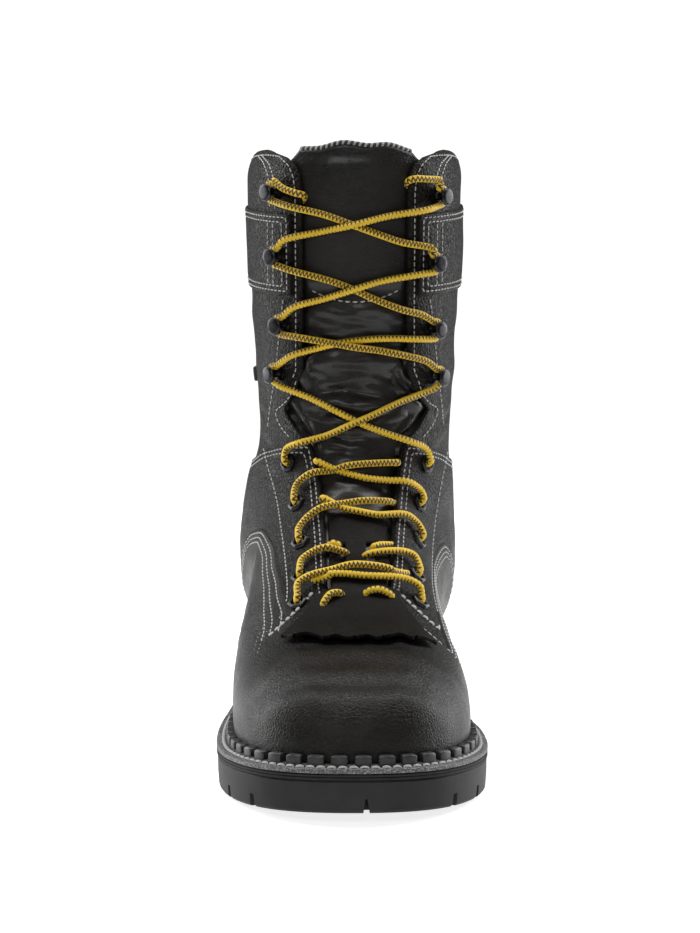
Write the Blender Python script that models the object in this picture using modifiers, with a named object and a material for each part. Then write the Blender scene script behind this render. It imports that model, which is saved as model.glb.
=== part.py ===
"""Logger boot, right foot: lace-up work boot with speed hooks, kiltie, storm welt and lugged heel.

Metres, +Z up, toe along -Y, medial side along +X. The origin is the middle of the heel's tread, on the floor.
"""

import math

import bmesh
import bpy
import numpy as np
from mathutils import Matrix, Vector

# Overall sizes
LENGTH = 0.316
BALL_WIDTH = 0.1195
HEEL_BACK = 0.036
COLLAR_HEIGHT = 0.270
COLLAR_DIP = 0.012
SHAFT_WIDTH = 0.103
SHAFT_DEPTH = 0.138
TONGUE_HEIGHT = 0.273
FORM_TOP = 0.286

# Sole sizes
HEEL_RISE = 0.040
FOREPART = 0.0140
LUG_DEPTH = 0.0055
WAIST_PLATE = 0.0075
MIDSOLE = 0.0028
WELT = 0.0026
TOE_SPRING = 0.0052
HEEL_LENGTH = 0.084
HEEL_UNDERCUT = 0.005
HEEL_TAPER = 0.0015
INSOLE = 0.0035

# Upper sizes
WALL = 0.0022
GAP = 0.0003
FORE_MARGIN = 0.0096
HEEL_MARGIN = 0.0060
TOE_HEIGHT = 0.0600
VAMP_THICK = 0.0020
QUARTER_THICK = 0.0013
COUNTER_THICK = 0.0020
BAND_THICK = 0.0018
BACKSTAY_THICK = 0.0014
BACKSTAY_WIDTH = 0.020
BAND_LOW = 0.203
BAND_HIGH = 0.241
TONGUE_THICK = 0.0050
TONGUE_HALF = 0.041
TONGUE_DROP = 0.0036
KILTIE_THICK = 0.0013
KILTIE_HALF = 0.033
PANEL_GAP = 0.0010
TAB_WIDE = 0.0055
TAB_TALL = 0.0070
TAB_THICK = 0.0016

# Hardware and lace sizes
HOOK_HEIGHT = 0.0072
HOOK_HEAD = 0.0043
HOOK_STEM = 0.0021
EYELET_OUT = 0.0047
EYELET_IN = 0.0025
EYELET_THICK = 0.0009
LACE = 0.0032

# Storm rib on the welt, measured in from the welt's edge
RIB_INNER = 0.0062
RIB_THICK = 0.0023
RIB_HEIGHT = 0.0042

# Mesh fineness
RINGS = 16
COLUMNS = 15
SECTIONS = 23
RIB_COUNT = 38

# Outsole outline. Station is a share of the length from the heel, the half widths are shares of the ball width.
OUTLINE_COLUMNS = ("station", "lateral", "medial")
OUTLINE = (
    (0.00, 0.350, 0.350),
    (0.12, 0.358, 0.358),
    (0.25, 0.358, 0.350),
    (0.40, 0.385, 0.335),
    (0.50, 0.435, 0.355),
    (0.60, 0.485, 0.410),
    (0.70, 0.508, 0.470),
    (0.80, 0.505, 0.488),
    (0.90, 0.492, 0.482),
    (1.00, 0.490, 0.478),
)
TOE_ROUND = 0.25
HEEL_ROUND = 0.145
OUTLINE_POWER = 2.35

# Crest of the foot form. Height is a share of the toe height, power is the fullness of the section, and the
# swells are how far the sides stand out past the welt line at mid height, as shares of the ball width.
CREST_COLUMNS = ("station", "height", "power", "lateral_swell", "medial_swell")
CREST = (
    (0.00, 1.90, 3.2, 0.010, 0.010),
    (0.15, 2.30, 3.0, 0.030, 0.020),
    (0.32, 2.45, 2.6, 0.075, 0.040),
    (0.45, 2.02, 2.4, 0.085, 0.060),
    (0.55, 1.58, 2.4, 0.070, 0.062),
    (0.62, 1.34, 2.5, 0.050, 0.052),
    (0.68, 1.17, 2.6, 0.032, 0.036),
    (0.74, 1.07, 2.6, 0.018, 0.020),
    (0.80, 1.02, 2.6, 0.008, 0.008),
    (0.87, 1.00, 2.7, 0.000, 0.000),
    (1.00, 0.95, 2.7, 0.000, 0.000),
)
CREST_ROUND = 0.16
CREST_POWER = 2.5

# Shaft. Height is a share of the collar height, width and the two reaches are shares of the shaft's width and depth.
SHAFT_COLUMNS = ("height", "width", "front", "back", "shift")
SHAFT = (
    (0.150, 0.70, 0.86, 0.165, -0.020),
    (0.185, 0.86, 0.84, 0.182, -0.030),
    (0.220, 0.95, 0.82, 0.190, -0.036),
    (0.280, 0.98, 0.75, 0.192, -0.038),
    (0.350, 0.955, 0.665, 0.190, -0.034),
    (0.400, 0.930, 0.680, 0.188, -0.024),
    (0.460, 0.885, 0.705, 0.186, -0.006),
    (0.550, 0.900, 0.722, 0.190, 0.000),
    (0.650, 0.940, 0.728, 0.202, 0.000),
    (0.750, 0.965, 0.735, 0.220, 0.000),
    (0.870, 0.990, 0.742, 0.240, 0.000),
    (1.000, 1.000, 0.748, 0.252, 0.000),
    (1.100, 1.000, 0.750, 0.256, 0.000),
)
SHAFT_POWER = 2.25
BLEND = 0.016

# Fan of points inside the boot, from which the front profile is found: place, and the angle up from forwards.
FAN_COLUMNS = ("y", "z", "degrees")
FAN = (
    (-0.71, 0.40, 0.0),
    (-0.71, 0.42, 18.0),
    (-0.69, 0.43, 50.0),
    (-0.65, 0.45, 90.0),
    (-0.53, 0.60, 88.0),
    (-0.38, 0.75, 62.0),
    (-0.24, 1.25, 38.0),
    (-0.15, 2.20, 10.0),
    (-0.13, 4.76, 0.0),
)

# Throat. Height is a share of the collar height; half opening and middle are shares of the shaft's width.
THROAT_COLUMNS = ("height", "half", "middle")
THROAT = (
    (0.000, -0.500, 0.015),
    (0.250, -0.100, 0.015),
    (0.257, 0.000, 0.015),
    (0.264, 0.080, 0.015),
    (0.276, 0.125, 0.016),
    (0.305, 0.142, 0.017),
    (0.350, 0.150, 0.018),
    (0.440, 0.175, 0.018),
    (0.490, 0.200, 0.014),
    (0.515, 0.270, 0.010),
    (0.548, 0.335, 0.006),
    (0.585, 0.275, 0.000),
    (0.622, 0.240, 0.000),
    (0.740, 0.238, 0.000),
    (0.930, 0.240, 0.000),
    (0.956, 0.248, 0.000),
    (0.976, 0.270, 0.000),
    (0.990, 0.315, 0.000),
    (1.000, 0.400, 0.000),
    (1.100, 1.200, 0.000),
)

# Side views of the overlays. y is a share of the length, z is a share of the collar height.
SIDE_COLUMNS = ("y", "z")
VAMP_LATERAL = (
    (-0.215, 0.020),
    (-0.205, 0.235),
    (-0.222, 0.300),
    (-0.250, 0.330),
    (-0.300, 0.345),
    (-0.345, 0.345),
    (-0.383, 0.334),
    (-0.430, 0.310),
    (-0.500, 0.278),
    (-0.550, 0.256),
    (-0.602, 0.231),
    (-0.578, 0.252),
    (-0.548, 0.272),
    (-0.530, 0.330),
    (-1.100, 0.330),
    (-1.100, 0.020),
)
VAMP_MEDIAL = (
    (-0.215, 0.020),
    (-0.200, 0.220),
    (-0.212, 0.280),
    (-0.243, 0.309),
    (-0.290, 0.305),
    (-0.360, 0.282),
    (-0.430, 0.256),
    (-0.500, 0.230),
    (-0.582, 0.200),
    (-0.566, 0.240),
    (-0.546, 0.268),
    (-0.530, 0.330),
    (-1.100, 0.330),
    (-1.100, 0.020),
)
COUNTER_SIDE = (
    (0.200, 0.020),
    (0.200, 0.372),
    (0.075, 0.366),
    (0.020, 0.345),
    (-0.040, 0.300),
    (-0.090, 0.240),
    (-0.120, 0.180),
    (-0.130, 0.020),
)
QUARTER_TOP = (
    (-0.50, 0.505),
    (-0.34, 0.503),
    (-0.28, 0.490),
    (-0.16, 0.446),
    (-0.02, 0.425),
    (0.20, 0.425),
)

# Eyelets and hooks from the throat's foot up: heights as shares of the collar height, and the places out from
# the middle on each side as shares of the shaft's width.
STUD_COLUMNS = ("left_z", "left_x", "right_z", "right_x")
EYELETS = (
    (0.266, 0.245, 0.260, 0.278),
    (0.299, 0.234, 0.292, 0.267),
    (0.345, 0.237, 0.337, 0.278),
    (0.398, 0.255, 0.391, 0.284),
    (0.460, 0.295, 0.455, 0.318),
)
HOOKS = (
    (0.613, 0.345, 0.607, 0.358),
    (0.700, 0.322, 0.691, 0.343),
    (0.820, 0.328, 0.808, 0.328),
    (0.930, 0.356, 0.921, 0.366),
)

# Slots in the kiltie: place, then width and height in metres. Visible stubs of the bottom bar on the kiltie.
SLOT_COLUMNS = ("x", "z", "wide", "tall")
KILTIE_SLOTS = (
    (-0.068, 0.338, 0.0052, 0.0090),
    (0.078, 0.338, 0.0052, 0.0090),
)
BAR_COLUMNS = ("name", "x", "z", "x_end", "z_end")
BAR_STUBS = (
    ("lace_bar_lateral", -0.195, 0.2640, -0.120, 0.2600),
    ("lace_bar_medial", 0.015, 0.2660, 0.098, 0.2700),
)

# Lace rows between the facings. Each strand comes out of an eyelet and tucks under the other facing at a height.
TUCK_COLUMNS = ("name", "eyelet", "left_tuck", "right_tuck")
TUCK_ROWS = (
    ("lace_row_2", 0, 0.302, 0.310),
    ("lace_row_4", 2, 0.405, 0.411),
    ("lace_row_5", 3, 0.470, 0.474),
)

def table_curve(table, columns, column, at):
    """Smooth curve through one named column of a table, against its first column."""
    xs = np.array([row[0] for row in table], float)
    ys = np.array([row[columns.index(column)] for row in table], float)
    if xs[0] > xs[-1]:
        xs, ys = xs[::-1], ys[::-1]
    slopes = np.gradient(ys, xs)
    at = np.clip(np.asarray(at, float), xs[0], xs[-1])
    i = np.clip(np.searchsorted(xs, at, side="right") - 1, 0, len(xs) - 2)
    step = xs[i + 1] - xs[i]
    t = (at - xs[i]) / step
    return (
        (2 * t**3 - 3 * t**2 + 1) * ys[i]
        + (t**3 - 2 * t**2 + t) * step * slopes[i]
        + (3 * t**2 - 2 * t**3) * ys[i + 1]
        + (t**3 - t**2) * step * slopes[i + 1]
    )


def smooth(t):
    t = np.clip(t, 0.0, 1.0)
    return t * t * (3 - 2 * t)


def station_of(y):
    return (HEEL_BACK - np.asarray(y, float)) / LENGTH


def y_of(station):
    return HEEL_BACK - np.asarray(station, float) * LENGTH


def end_round(t, power):
    """From 0 at an end to 1 where its rounding stops."""
    return (1 - (1 - np.clip(t, 0, 1)) ** power) ** (1 / power)


def sole_outline(count=240):
    """Closed outline of the outsole, from the heel along the lateral side to the toe and back."""
    turn = np.linspace(0, math.pi, count)
    s = (1 - np.cos(turn)) / 2
    lateral = table_curve(OUTLINE, OUTLINE_COLUMNS, "lateral", s) * BALL_WIDTH
    medial = table_curve(OUTLINE, OUTLINE_COLUMNS, "medial", s) * BALL_WIDTH
    middle = (medial - lateral) / 2
    half = (medial + lateral) / 2
    half = half * end_round(s / HEEL_ROUND, OUTLINE_POWER)
    half = half * end_round((1 - s) / TOE_ROUND, OUTLINE_POWER)
    lateral_side = np.column_stack([middle - half, y_of(s)])
    medial_side = np.column_stack([middle + half, y_of(s)])
    return np.vstack([lateral_side, medial_side[-2:0:-1]])


def inset(outline, margin):
    """Outline moved inwards by a margin, one number or one for each point."""
    along = np.roll(outline, -1, axis=0) - np.roll(outline, 1, axis=0)
    along /= np.linalg.norm(along, axis=1)[:, None]
    inwards = np.column_stack([-along[:, 1], along[:, 0]])
    return outline + inwards * np.reshape(margin, (-1, 1))


def sides_of(outline):
    """The two sides of an outline as (y, x) lists running from the toe to the heel, for interpolation."""
    toe, heel = int(np.argmin(outline[:, 1])), int(np.argmax(outline[:, 1]))
    ring = np.roll(outline, -toe, axis=0)
    cut = (heel - toe) % len(outline)
    first, second = ring[: cut + 1], np.vstack([ring[cut:], ring[:1]])[::-1]
    if first[:, 0].mean() > second[:, 0].mean():
        first, second = second, first
    return first[:, ::-1], second[:, ::-1]


def half_spans(sides, y):
    lateral, medial = sides
    return np.interp(y, lateral[:, 0], lateral[:, 1]), np.interp(y, medial[:, 0], medial[:, 1])


def seat_z(y):
    """Height of the insole line: heel, slope through the arch, forepart and toe spring."""
    s = station_of(y)
    forepart = FOREPART + MIDSOLE + WELT
    heel = HEEL_RISE + MIDSOLE + WELT
    slope = smooth((0.62 - s) / (0.62 - 0.272))
    return forepart + (heel - forepart) * slope + spring_z(s)


def spring_z(s):
    return TOE_SPRING * np.clip((s - 0.78) / 0.22, 0, 1.2) ** 1.6


def crest_z(y, toe_y):
    """Height of the foot form's crest, rounded down to the insole line at the toe."""
    s = station_of(y)
    high = table_curve(CREST, CREST_COLUMNS, "height", s) * TOE_HEIGHT
    seat = seat_z(y)
    fall = end_round((np.asarray(y) - toe_y) / (CREST_ROUND * LENGTH), CREST_POWER)
    return seat + (high - seat) * fall


class Form:
    """The last with its shaft: where its surface is, and the grid of points that every leather piece is cut from."""

    def __init__(self):
        outline = sole_outline()
        margin = HEEL_MARGIN + (FORE_MARGIN - HEEL_MARGIN) * smooth((station_of(outline[:, 1]) - 0.30) / 0.2)
        self.sides = sides_of(inset(outline, margin))
        self.toe_y = self.sides[0][0, 0]
        self.heel_y = self.sides[0][-1, 0]
        self.front = self.front_profile()
        self.back = self.back_profile()
        self.make_grid()

    def middle(self, y):
        lateral, medial = half_spans(self.sides, y)
        return (lateral + medial) / 2

    def level(self, x, y, z):
        """About the distance outside the form, negative inside."""
        lateral, medial = half_spans(self.sides, y)
        middle, half = (lateral + medial) / 2, np.maximum((medial - lateral) / 2, 1e-5)
        seat = seat_z(y)
        tall = np.maximum(crest_z(y, self.toe_y) - seat, 1e-4)
        power = table_curve(CREST, CREST_COLUMNS, "power", station_of(y))
        up = np.minimum(np.maximum(z - seat, 0) / tall, 50.0)
        swell = np.sin(math.pi * np.clip(up, 0, 1) ** 1.15) * np.minimum(half / 0.025, 1) * BALL_WIDTH
        lateral = table_curve(CREST, CREST_COLUMNS, "lateral_swell", station_of(y)) * swell
        medial = table_curve(CREST, CREST_COLUMNS, "medial_swell", station_of(y)) * swell
        across = np.abs(x - middle) / (half + np.where(x < middle, lateral, medial))
        across = np.minimum(across, 50.0)
        foot = ((across**power + up**power) ** (1 / power) - 1) * np.maximum(np.minimum(half, tall), 0.02)
        high = z / COLLAR_HEIGHT
        wide = table_curve(SHAFT, SHAFT_COLUMNS, "width", high) * SHAFT_WIDTH / 2
        front = -table_curve(SHAFT, SHAFT_COLUMNS, "front", high) * SHAFT_DEPTH
        back = table_curve(SHAFT, SHAFT_COLUMNS, "back", high) * SHAFT_DEPTH
        across = np.abs(x - table_curve(SHAFT, SHAFT_COLUMNS, "shift", high) * SHAFT_WIDTH) / wide
        along = np.abs(y - (front + back) / 2) / ((back - front) / 2)
        shaft = ((across**SHAFT_POWER + along**SHAFT_POWER) ** (1 / SHAFT_POWER) - 1) * wide
        share = np.clip(0.5 + 0.5 * (shaft - foot) / BLEND, 0, 1)
        return shaft + (foot - shaft) * share - BLEND * share * (1 - share)

    def reach(self, x, y, z, dx, dy, dz, far):
        """Distance from points inside to the surface, along the given directions."""
        near, far = np.zeros_like(y), np.full_like(y, far)
        for _ in range(34):
            mid = (near + far) / 2
            inside = self.level(x + mid * dx, y + mid * dy, z + mid * dz) < 0
            near, far = np.where(inside, mid, near), np.where(inside, far, mid)
        return near

    def front_profile(self, count=160):
        rows = np.array(FAN)
        t = np.linspace(0, len(rows) - 1, count)
        y = np.interp(t, range(len(rows)), rows[:, 0]) * LENGTH
        z = np.interp(t, range(len(rows)), rows[:, 1]) * TOE_HEIGHT
        angle = np.radians(np.interp(t, range(len(rows)), rows[:, 2]))
        z = z + (seat_z(self.toe_y) - z[0]) * np.clip(1 - t, 0, 1)
        dy, dz = -np.cos(angle), np.sin(angle)
        x = self.middle(y)
        far = self.reach(x, y, z, 0.0, dy, dz, 0.16)
        points = np.column_stack([y + far * dy, z + far * dz])
        points[0] = (self.toe_y, seat_z(self.toe_y))
        return points

    def back_profile(self, count=80):
        z = np.linspace(float(seat_z(self.heel_y)), FORM_TOP, count)
        y = np.full(count, -0.03)
        far = self.reach(self.middle(y), y, z, 0.0, 1.0, 0.0, 0.12)
        return np.column_stack([y + far, z])

    def make_grid(self):
        """Rings from the insole line to above the collar, each of points from the front round to the front."""
        front_at, front_run = run_along(self.front)
        back_at, back_run = run_along(self.back)
        steps = np.linspace(0, 1, RINGS + 1)
        shares = 0.6 * steps + 0.4 * (1 - np.cos(math.pi * steps)) / 2
        samples = (1 - np.cos(np.linspace(0, math.pi, 161))) / 2
        first = self.ring_line(0, front_at, back_at, samples)
        sag = lambda y: seat_z(y) - np.interp(y, first[:, 0], first[:, 1])
        rings, us, vs = [], [], []
        for i, share in enumerate(shares):
            line = self.ring_line(share, front_at, back_at, samples)
            y = line[:, 0]
            z = line[:, 1] + sag(y) * max(0.0, 1 - share / 0.45) ** 2
            x = self.middle(y)
            halves = []
            for sign in (-1, 1):
                out = self.reach(x, y, z, float(sign), 0.0, 0.0, 0.09)
                out[[0, -1]] = 0
                halves.append(np.column_stack([x + sign * out, y, z]))
            ease = 1.30 - 0.30 * share
            steps = (np.arange(COLUMNS + 1) / COLUMNS) ** ease
            parts = [respace(half, steps) for half in halves]
            ring = np.vstack([parts[0][0], parts[1][0][-2:0:-1]])
            rings.append(ring)
            us.append(np.concatenate([-parts[0][1], parts[1][1][-2:0:-1]]))
            vs.append(np.full(len(ring), share * front_run))
        self.points = np.array(rings)
        self.u = np.array(us)
        self.v = np.array(vs)
        around = np.roll(self.points, -1, axis=1) - np.roll(self.points, 1, axis=1)
        up = np.gradient(self.points, axis=0)
        normals = np.cross(up, around)
        normals[:2, :, 2] *= np.array([0.0, 0.6])[:, None]
        self.normals = normals / np.linalg.norm(normals, axis=2)[:, :, None]

    def ring_line(self, share, front_at, back_at, samples):
        start, end = front_at(share), back_at(share)
        return start + (end - start) * samples[:, None]

    def at(self, x, z):
        """Point and normal of the front of the surface at an x and a height."""
        front = list(range(COLUMNS // 2 + 2, 0, -1)) + [0] + list(range(-1, -COLUMNS // 2 - 3, -1))
        found = []
        for ring, normal in zip(self.points[:, front], self.normals[:, front]):
            both = np.hstack([ring, normal])
            found.append([np.interp(x, ring[:, 0], both[:, k]) for k in range(6)])
        found = np.array(found)
        row = np.array([np.interp(z, found[:, 2], found[:, k]) for k in range(6)])
        return Vector(row[:3]), Vector(row[3:]).normalized()


def run_along(points):
    """A function of the share along a line of points, and the line's length."""
    steps = np.concatenate([[0], np.cumsum(np.linalg.norm(np.diff(points, axis=0), axis=1))])
    share = steps / steps[-1]
    return (lambda t: np.array([np.interp(t, share, column) for column in points.T])), steps[-1]


def respace(points, shares):
    """Points at the given shares of a line's length, and their distances along it."""
    steps = np.concatenate([[0], np.cumsum(np.linalg.norm(np.diff(points, axis=0), axis=1))])
    want = shares * steps[-1]
    return np.column_stack([np.interp(want, steps, column) for column in points.T]), want


def material(name, colour, roughness, metallic=0.0):
    made = bpy.data.materials.new(name)
    made.use_nodes = True
    shader = made.node_tree.nodes["Principled BSDF"]
    shader.inputs["Base Color"].default_value = (*colour, 1.0)
    shader.inputs["Roughness"].default_value = roughness
    shader.inputs["Metallic"].default_value = metallic
    made.diffuse_color = (*colour, 1.0)
    return made


def make_object(name, mesh, finish, collection):
    made = bpy.data.objects.new(name, mesh)
    if finish is not None:
        mesh.materials.append(finish)
    collection.objects.link(made)
    return made


def from_bmesh(name, bm, finish, collection):
    mesh = bpy.data.meshes.new(name)
    bm.to_mesh(mesh)
    bm.free()
    mesh.shade_smooth()
    mesh.set_sharp_from_angle(angle=math.radians(35))
    return make_object(name, mesh, finish, collection)


def skin(form):
    """The form's grid as a triangle mesh, which keeps each point's place round the foot and its normal."""
    bm = bmesh.new()
    u_layer = bm.verts.layers.float.new("u")
    normal_layer = bm.verts.layers.float_vector.new("normal")
    rows = []
    for ring, us, normals in zip(form.points, form.u, form.normals):
        row = []
        for point, u, normal in zip(ring, us, normals):
            vert = bm.verts.new(point)
            vert[u_layer] = u
            vert[normal_layer] = normal
            row.append(vert)
        rows.append(row)
    around = len(rows[0])
    for low, high in zip(rows, rows[1:]):
        for j in range(around):
            k = (j + 1) % around
            if j < COLUMNS:
                bm.faces.new((low[j], high[j], low[k]))
                bm.faces.new((high[j], high[k], low[k]))
            else:
                bm.faces.new((low[j], high[j], high[k]))
                bm.faces.new((low[j], high[k], low[k]))
    bmesh.ops.recalc_face_normals(bm, faces=bm.faces)
    if sum(face.normal.dot(face.verts[0][normal_layer]) for face in bm.faces) < 0:
        bmesh.ops.reverse_faces(bm, faces=bm.faces)
    return bm


def clip(bm, field, snap=0.0002):
    """Keeps the part of an open mesh where field is positive, cut along the line where it is zero."""
    layer = bm.verts.layers.float.get("u")
    value = {}
    for vert in bm.verts:
        found = field(vert.co, vert[layer])
        value[vert] = 0.0 if abs(found) < snap else found
    for edge in list(bm.edges):
        a, b = edge.verts
        if value[a] * value[b] < 0:
            low, high = 0.0, 1.0
            for _ in range(12):
                middle = (low + high) / 2
                found = field(a.co.lerp(b.co, middle), a[layer] + (b[layer] - a[layer]) * middle)
                low, high = (middle, high) if found * value[a] > 0 else (low, middle)
            made = bmesh.utils.edge_split(edge, a, (low + high) / 2)[1]
            value[made] = 0.0
    for face in list(bm.faces):
        zero = [vert for vert in face.verts if value[vert] == 0.0]
        signs = {value[vert] > 0 for vert in face.verts if value[vert] != 0.0}
        if len(zero) == 2 and len(signs) == 2:
            bmesh.utils.face_split(face, zero[0], zero[1])
    gone = [face for face in bm.faces if sum(value[vert] for vert in face.verts) <= 0]
    bmesh.ops.delete(bm, geom=gone, context="FACES")
    loose = [vert for vert in bm.verts if not vert.link_faces]
    bmesh.ops.delete(bm, geom=loose, context="VERTS")


def shell(name, bm, low, high, finish, collection):
    """Solid between two heights over the form, numbers or functions of the place, along the form's own normals.

    Solidify would use each piece's own normals, which differ at its cut edges, and the layers would touch there.
    """
    normal_layer = bm.verts.layers.float_vector.get("normal")
    layer = bm.verts.layers.float.get("u")
    top = {}
    for vert in list(bm.verts):
        out, base = vert[normal_layer].normalized(), vert.co.copy()
        heights = [h(base, vert[layer]) if callable(h) else h for h in (low, high)]
        vert.co = base + out * heights[0]
        top[vert] = bm.verts.new(base + out * heights[1])
    rim = [edge for edge in bm.edges if edge.is_boundary]
    for face in list(bm.faces):
        bm.faces.new([top[vert] for vert in face.verts])
    for edge in rim:
        a, b = edge.verts
        bm.faces.new((a, b, top[b], top[a]))
    bmesh.ops.recalc_face_normals(bm, faces=bm.faces)
    return from_bmesh(name, bm, finish, collection)


def polygon_of(table):
    return np.array([(y * LENGTH, z * COLLAR_HEIGHT) for y, z in table])


def inside_distance(polygon, y, z):
    """Distance to a closed outline in the side view, positive inside it."""
    a, b = polygon, np.roll(polygon, -1, axis=0)
    edge = b - a
    to = np.array([y, z]) - a
    t = np.clip((to * edge).sum(1) / (edge * edge).sum(1), 0, 1)
    near = np.linalg.norm(to - edge * t[:, None], axis=1).min()
    crosses = (a[:, 1] > z) != (b[:, 1] > z)
    flat = np.where(edge[:, 1] == 0, 1e-12, edge[:, 1])
    right = y < a[:, 0] + (z - a[:, 1]) * edge[:, 0] / flat
    return near if (crosses & right).sum() % 2 else -near


def throat_half(z):
    rows = np.array(THROAT)
    return np.interp(z / COLLAR_HEIGHT, rows[:, 0], rows[:, 1]) * SHAFT_WIDTH


def throat_middle(z):
    rows = np.array(THROAT)
    return np.interp(z / COLLAR_HEIGHT, rows[:, 0], rows[:, 2]) * SHAFT_WIDTH


def outside_throat(co, _u):
    if co.y > -0.13 * LENGTH:
        return 0.02
    return abs(co.x - throat_middle(co.z)) - throat_half(co.z)


def below_collar(co, _u):
    share = smooth((co.y + 0.075) / 0.10)
    return COLLAR_HEIGHT - COLLAR_DIP * float(share) - co.z


def add_upper(form, finish, collection):
    bm = skin(form)
    clip(bm, below_collar)
    clip(bm, outside_throat)
    return shell("upper", bm, -WALL, 0.0, finish, collection)


def add_overlay(name, form, finish, collection, fields, thickness):
    bm = skin(form)
    for field in fields:
        clip(bm, field)
    return shell(name, bm, GAP, GAP + thickness, finish, collection)


def add_overlays(form, finishes, collection):
    vamps = {True: polygon_of(VAMP_LATERAL), False: polygon_of(VAMP_MEDIAL)}
    counter = polygon_of(COUNTER_SIDE)
    top = polygon_of(QUARTER_TOP)

    def in_vamp(co, u):
        return inside_distance(vamps[u < 0], co.y, co.z)

    def in_counter(co, _u):
        return inside_distance(counter, co.y, co.z)

    def under_top(co, _u):
        return float(np.interp(co.y, top[:, 0], top[:, 1])) - co.z

    def off_backstay(co, u):
        return BACKSTAY_WIDTH / 2 - abs(co.x) if co.y > 0 else -0.02

    throat_edge = lambda co, u: outside_throat(co, u) - 0.0004
    overlays = [
        add_overlay("vamp", form, finishes["smooth"], collection, [in_vamp, throat_edge], VAMP_THICK),
        add_overlay("counter", form, finishes["smooth"], collection, [in_counter], COUNTER_THICK),
    ]
    for name, sign in (("quarter_lateral", -1), ("quarter_medial", 1)):
        fields = [
            under_top,
            lambda co, u: -PANEL_GAP - in_vamp(co, u),
            lambda co, u: -PANEL_GAP - in_counter(co, u),
            lambda co, u: sign * co.x if co.y > -0.03 else sign * u,
            lambda co, u: -off_backstay(co, u) - PANEL_GAP,
            throat_edge,
        ]
        overlays.append(add_overlay(name, form, finishes["grained"], collection, fields, QUARTER_THICK))
    fields = [
        lambda co, u: co.z - BAND_LOW,
        lambda co, u: BAND_HIGH - co.z,
        lambda co, u: outside_throat(co, u) - 0.004,
    ]
    overlays.append(add_overlay("collar_band", form, finishes["grained"], collection, fields, BAND_THICK))
    fields = [
        off_backstay,
        lambda co, u: BAND_LOW - PANEL_GAP - co.z,
        lambda co, u: -PANEL_GAP - in_counter(co, u),
    ]
    overlays.append(add_overlay("backstay", form, finishes["smooth"], collection, fields, BACKSTAY_THICK))
    return overlays


def add_side_tab(form, finish, collection):
    """Small folded tab sewn flat on the lateral side of the shaft."""
    place = Vector((0.0, -0.114 * LENGTH, 0.592 * COLLAR_HEIGHT))
    place.x = -float(form.reach(np.zeros(1), np.array([place.y]), place.z, -1.0, 0.0, 0.0, 0.09)[0])
    step = 0.002
    around = [np.array(place) + np.array(way) * step for way in ((1, 0, 0), (0, 1, 0), (0, 0, 1))]
    here = float(form.level(*np.array(place)))
    out = Vector([float(form.level(*point)) - here for point in around]).normalized()
    along = out.cross(Vector((0, 0, 1))).normalized()
    turn = Matrix((along, out.cross(along), out)).transposed().to_4x4()
    centre = Matrix.Translation(place + out * (3 * GAP + TAB_THICK / 2))
    bm = bmesh.new()
    bmesh.ops.create_cube(bm, size=1.0, matrix=centre @ turn @ Matrix.Diagonal((TAB_WIDE, TAB_TALL, TAB_THICK, 1)))
    return from_bmesh("side_tab", bm, finish, collection)


def tongue_half(z):
    """Half width of the tongue: narrow at the throat's foot, full at the collar, rounded at its top corners."""
    low = 0.27 * COLLAR_HEIGHT
    grow = TONGUE_HALF * (0.52 + 0.48 * smooth((z - low) / (0.5 * COLLAR_HEIGHT)))
    return grow - 0.32 * TONGUE_HALF * smooth((z - TONGUE_HEIGHT + 0.016) / 0.016)


def add_tongue(form, finish, collection):
    bm = skin(form)
    clip(bm, lambda co, u: TONGUE_HEIGHT - co.z)
    clip(bm, lambda co, u: co.z - 0.262 * COLLAR_HEIGHT)
    clip(bm, lambda co, u: tongue_half(co.z) - abs(co.x - throat_middle(co.z)) if co.y < -0.04 else -0.02)
    return shell("tongue", bm, -TONGUE_DROP - TONGUE_THICK, -TONGUE_DROP, finish, collection)


def kiltie_half(co):
    """Half width of the kiltie: inside the throat above, spreading over the vamp towards its fringed edge."""
    low, high = -0.655 * LENGTH, -0.530 * LENGTH
    free = float(np.interp(co.y, [low, high], [KILTIE_HALF, 0.0180]))
    share = float(smooth((0.284 - co.z / COLLAR_HEIGHT) / 0.012))
    return (throat_half(co.z) - 0.0014) * (1 - share) + free * share


def kiltie_rise(z):
    """0 where the kiltie lies down in the throat, 1 where it has climbed over the vamp."""
    return float(smooth((0.345 - z / COLLAR_HEIGHT) / 0.050))


def kiltie_lift(co, _u):
    """Height of the kiltie's underside above the form: over the vamp, or down in the throat above the tongue."""
    share = kiltie_rise(co.z)
    flare = 0.0016 * float(smooth((-co.y / LENGTH - 0.58) / 0.07))
    return -TONGUE_DROP + GAP + (TONGUE_DROP + VAMP_THICK + GAP) * share + flare


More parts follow.
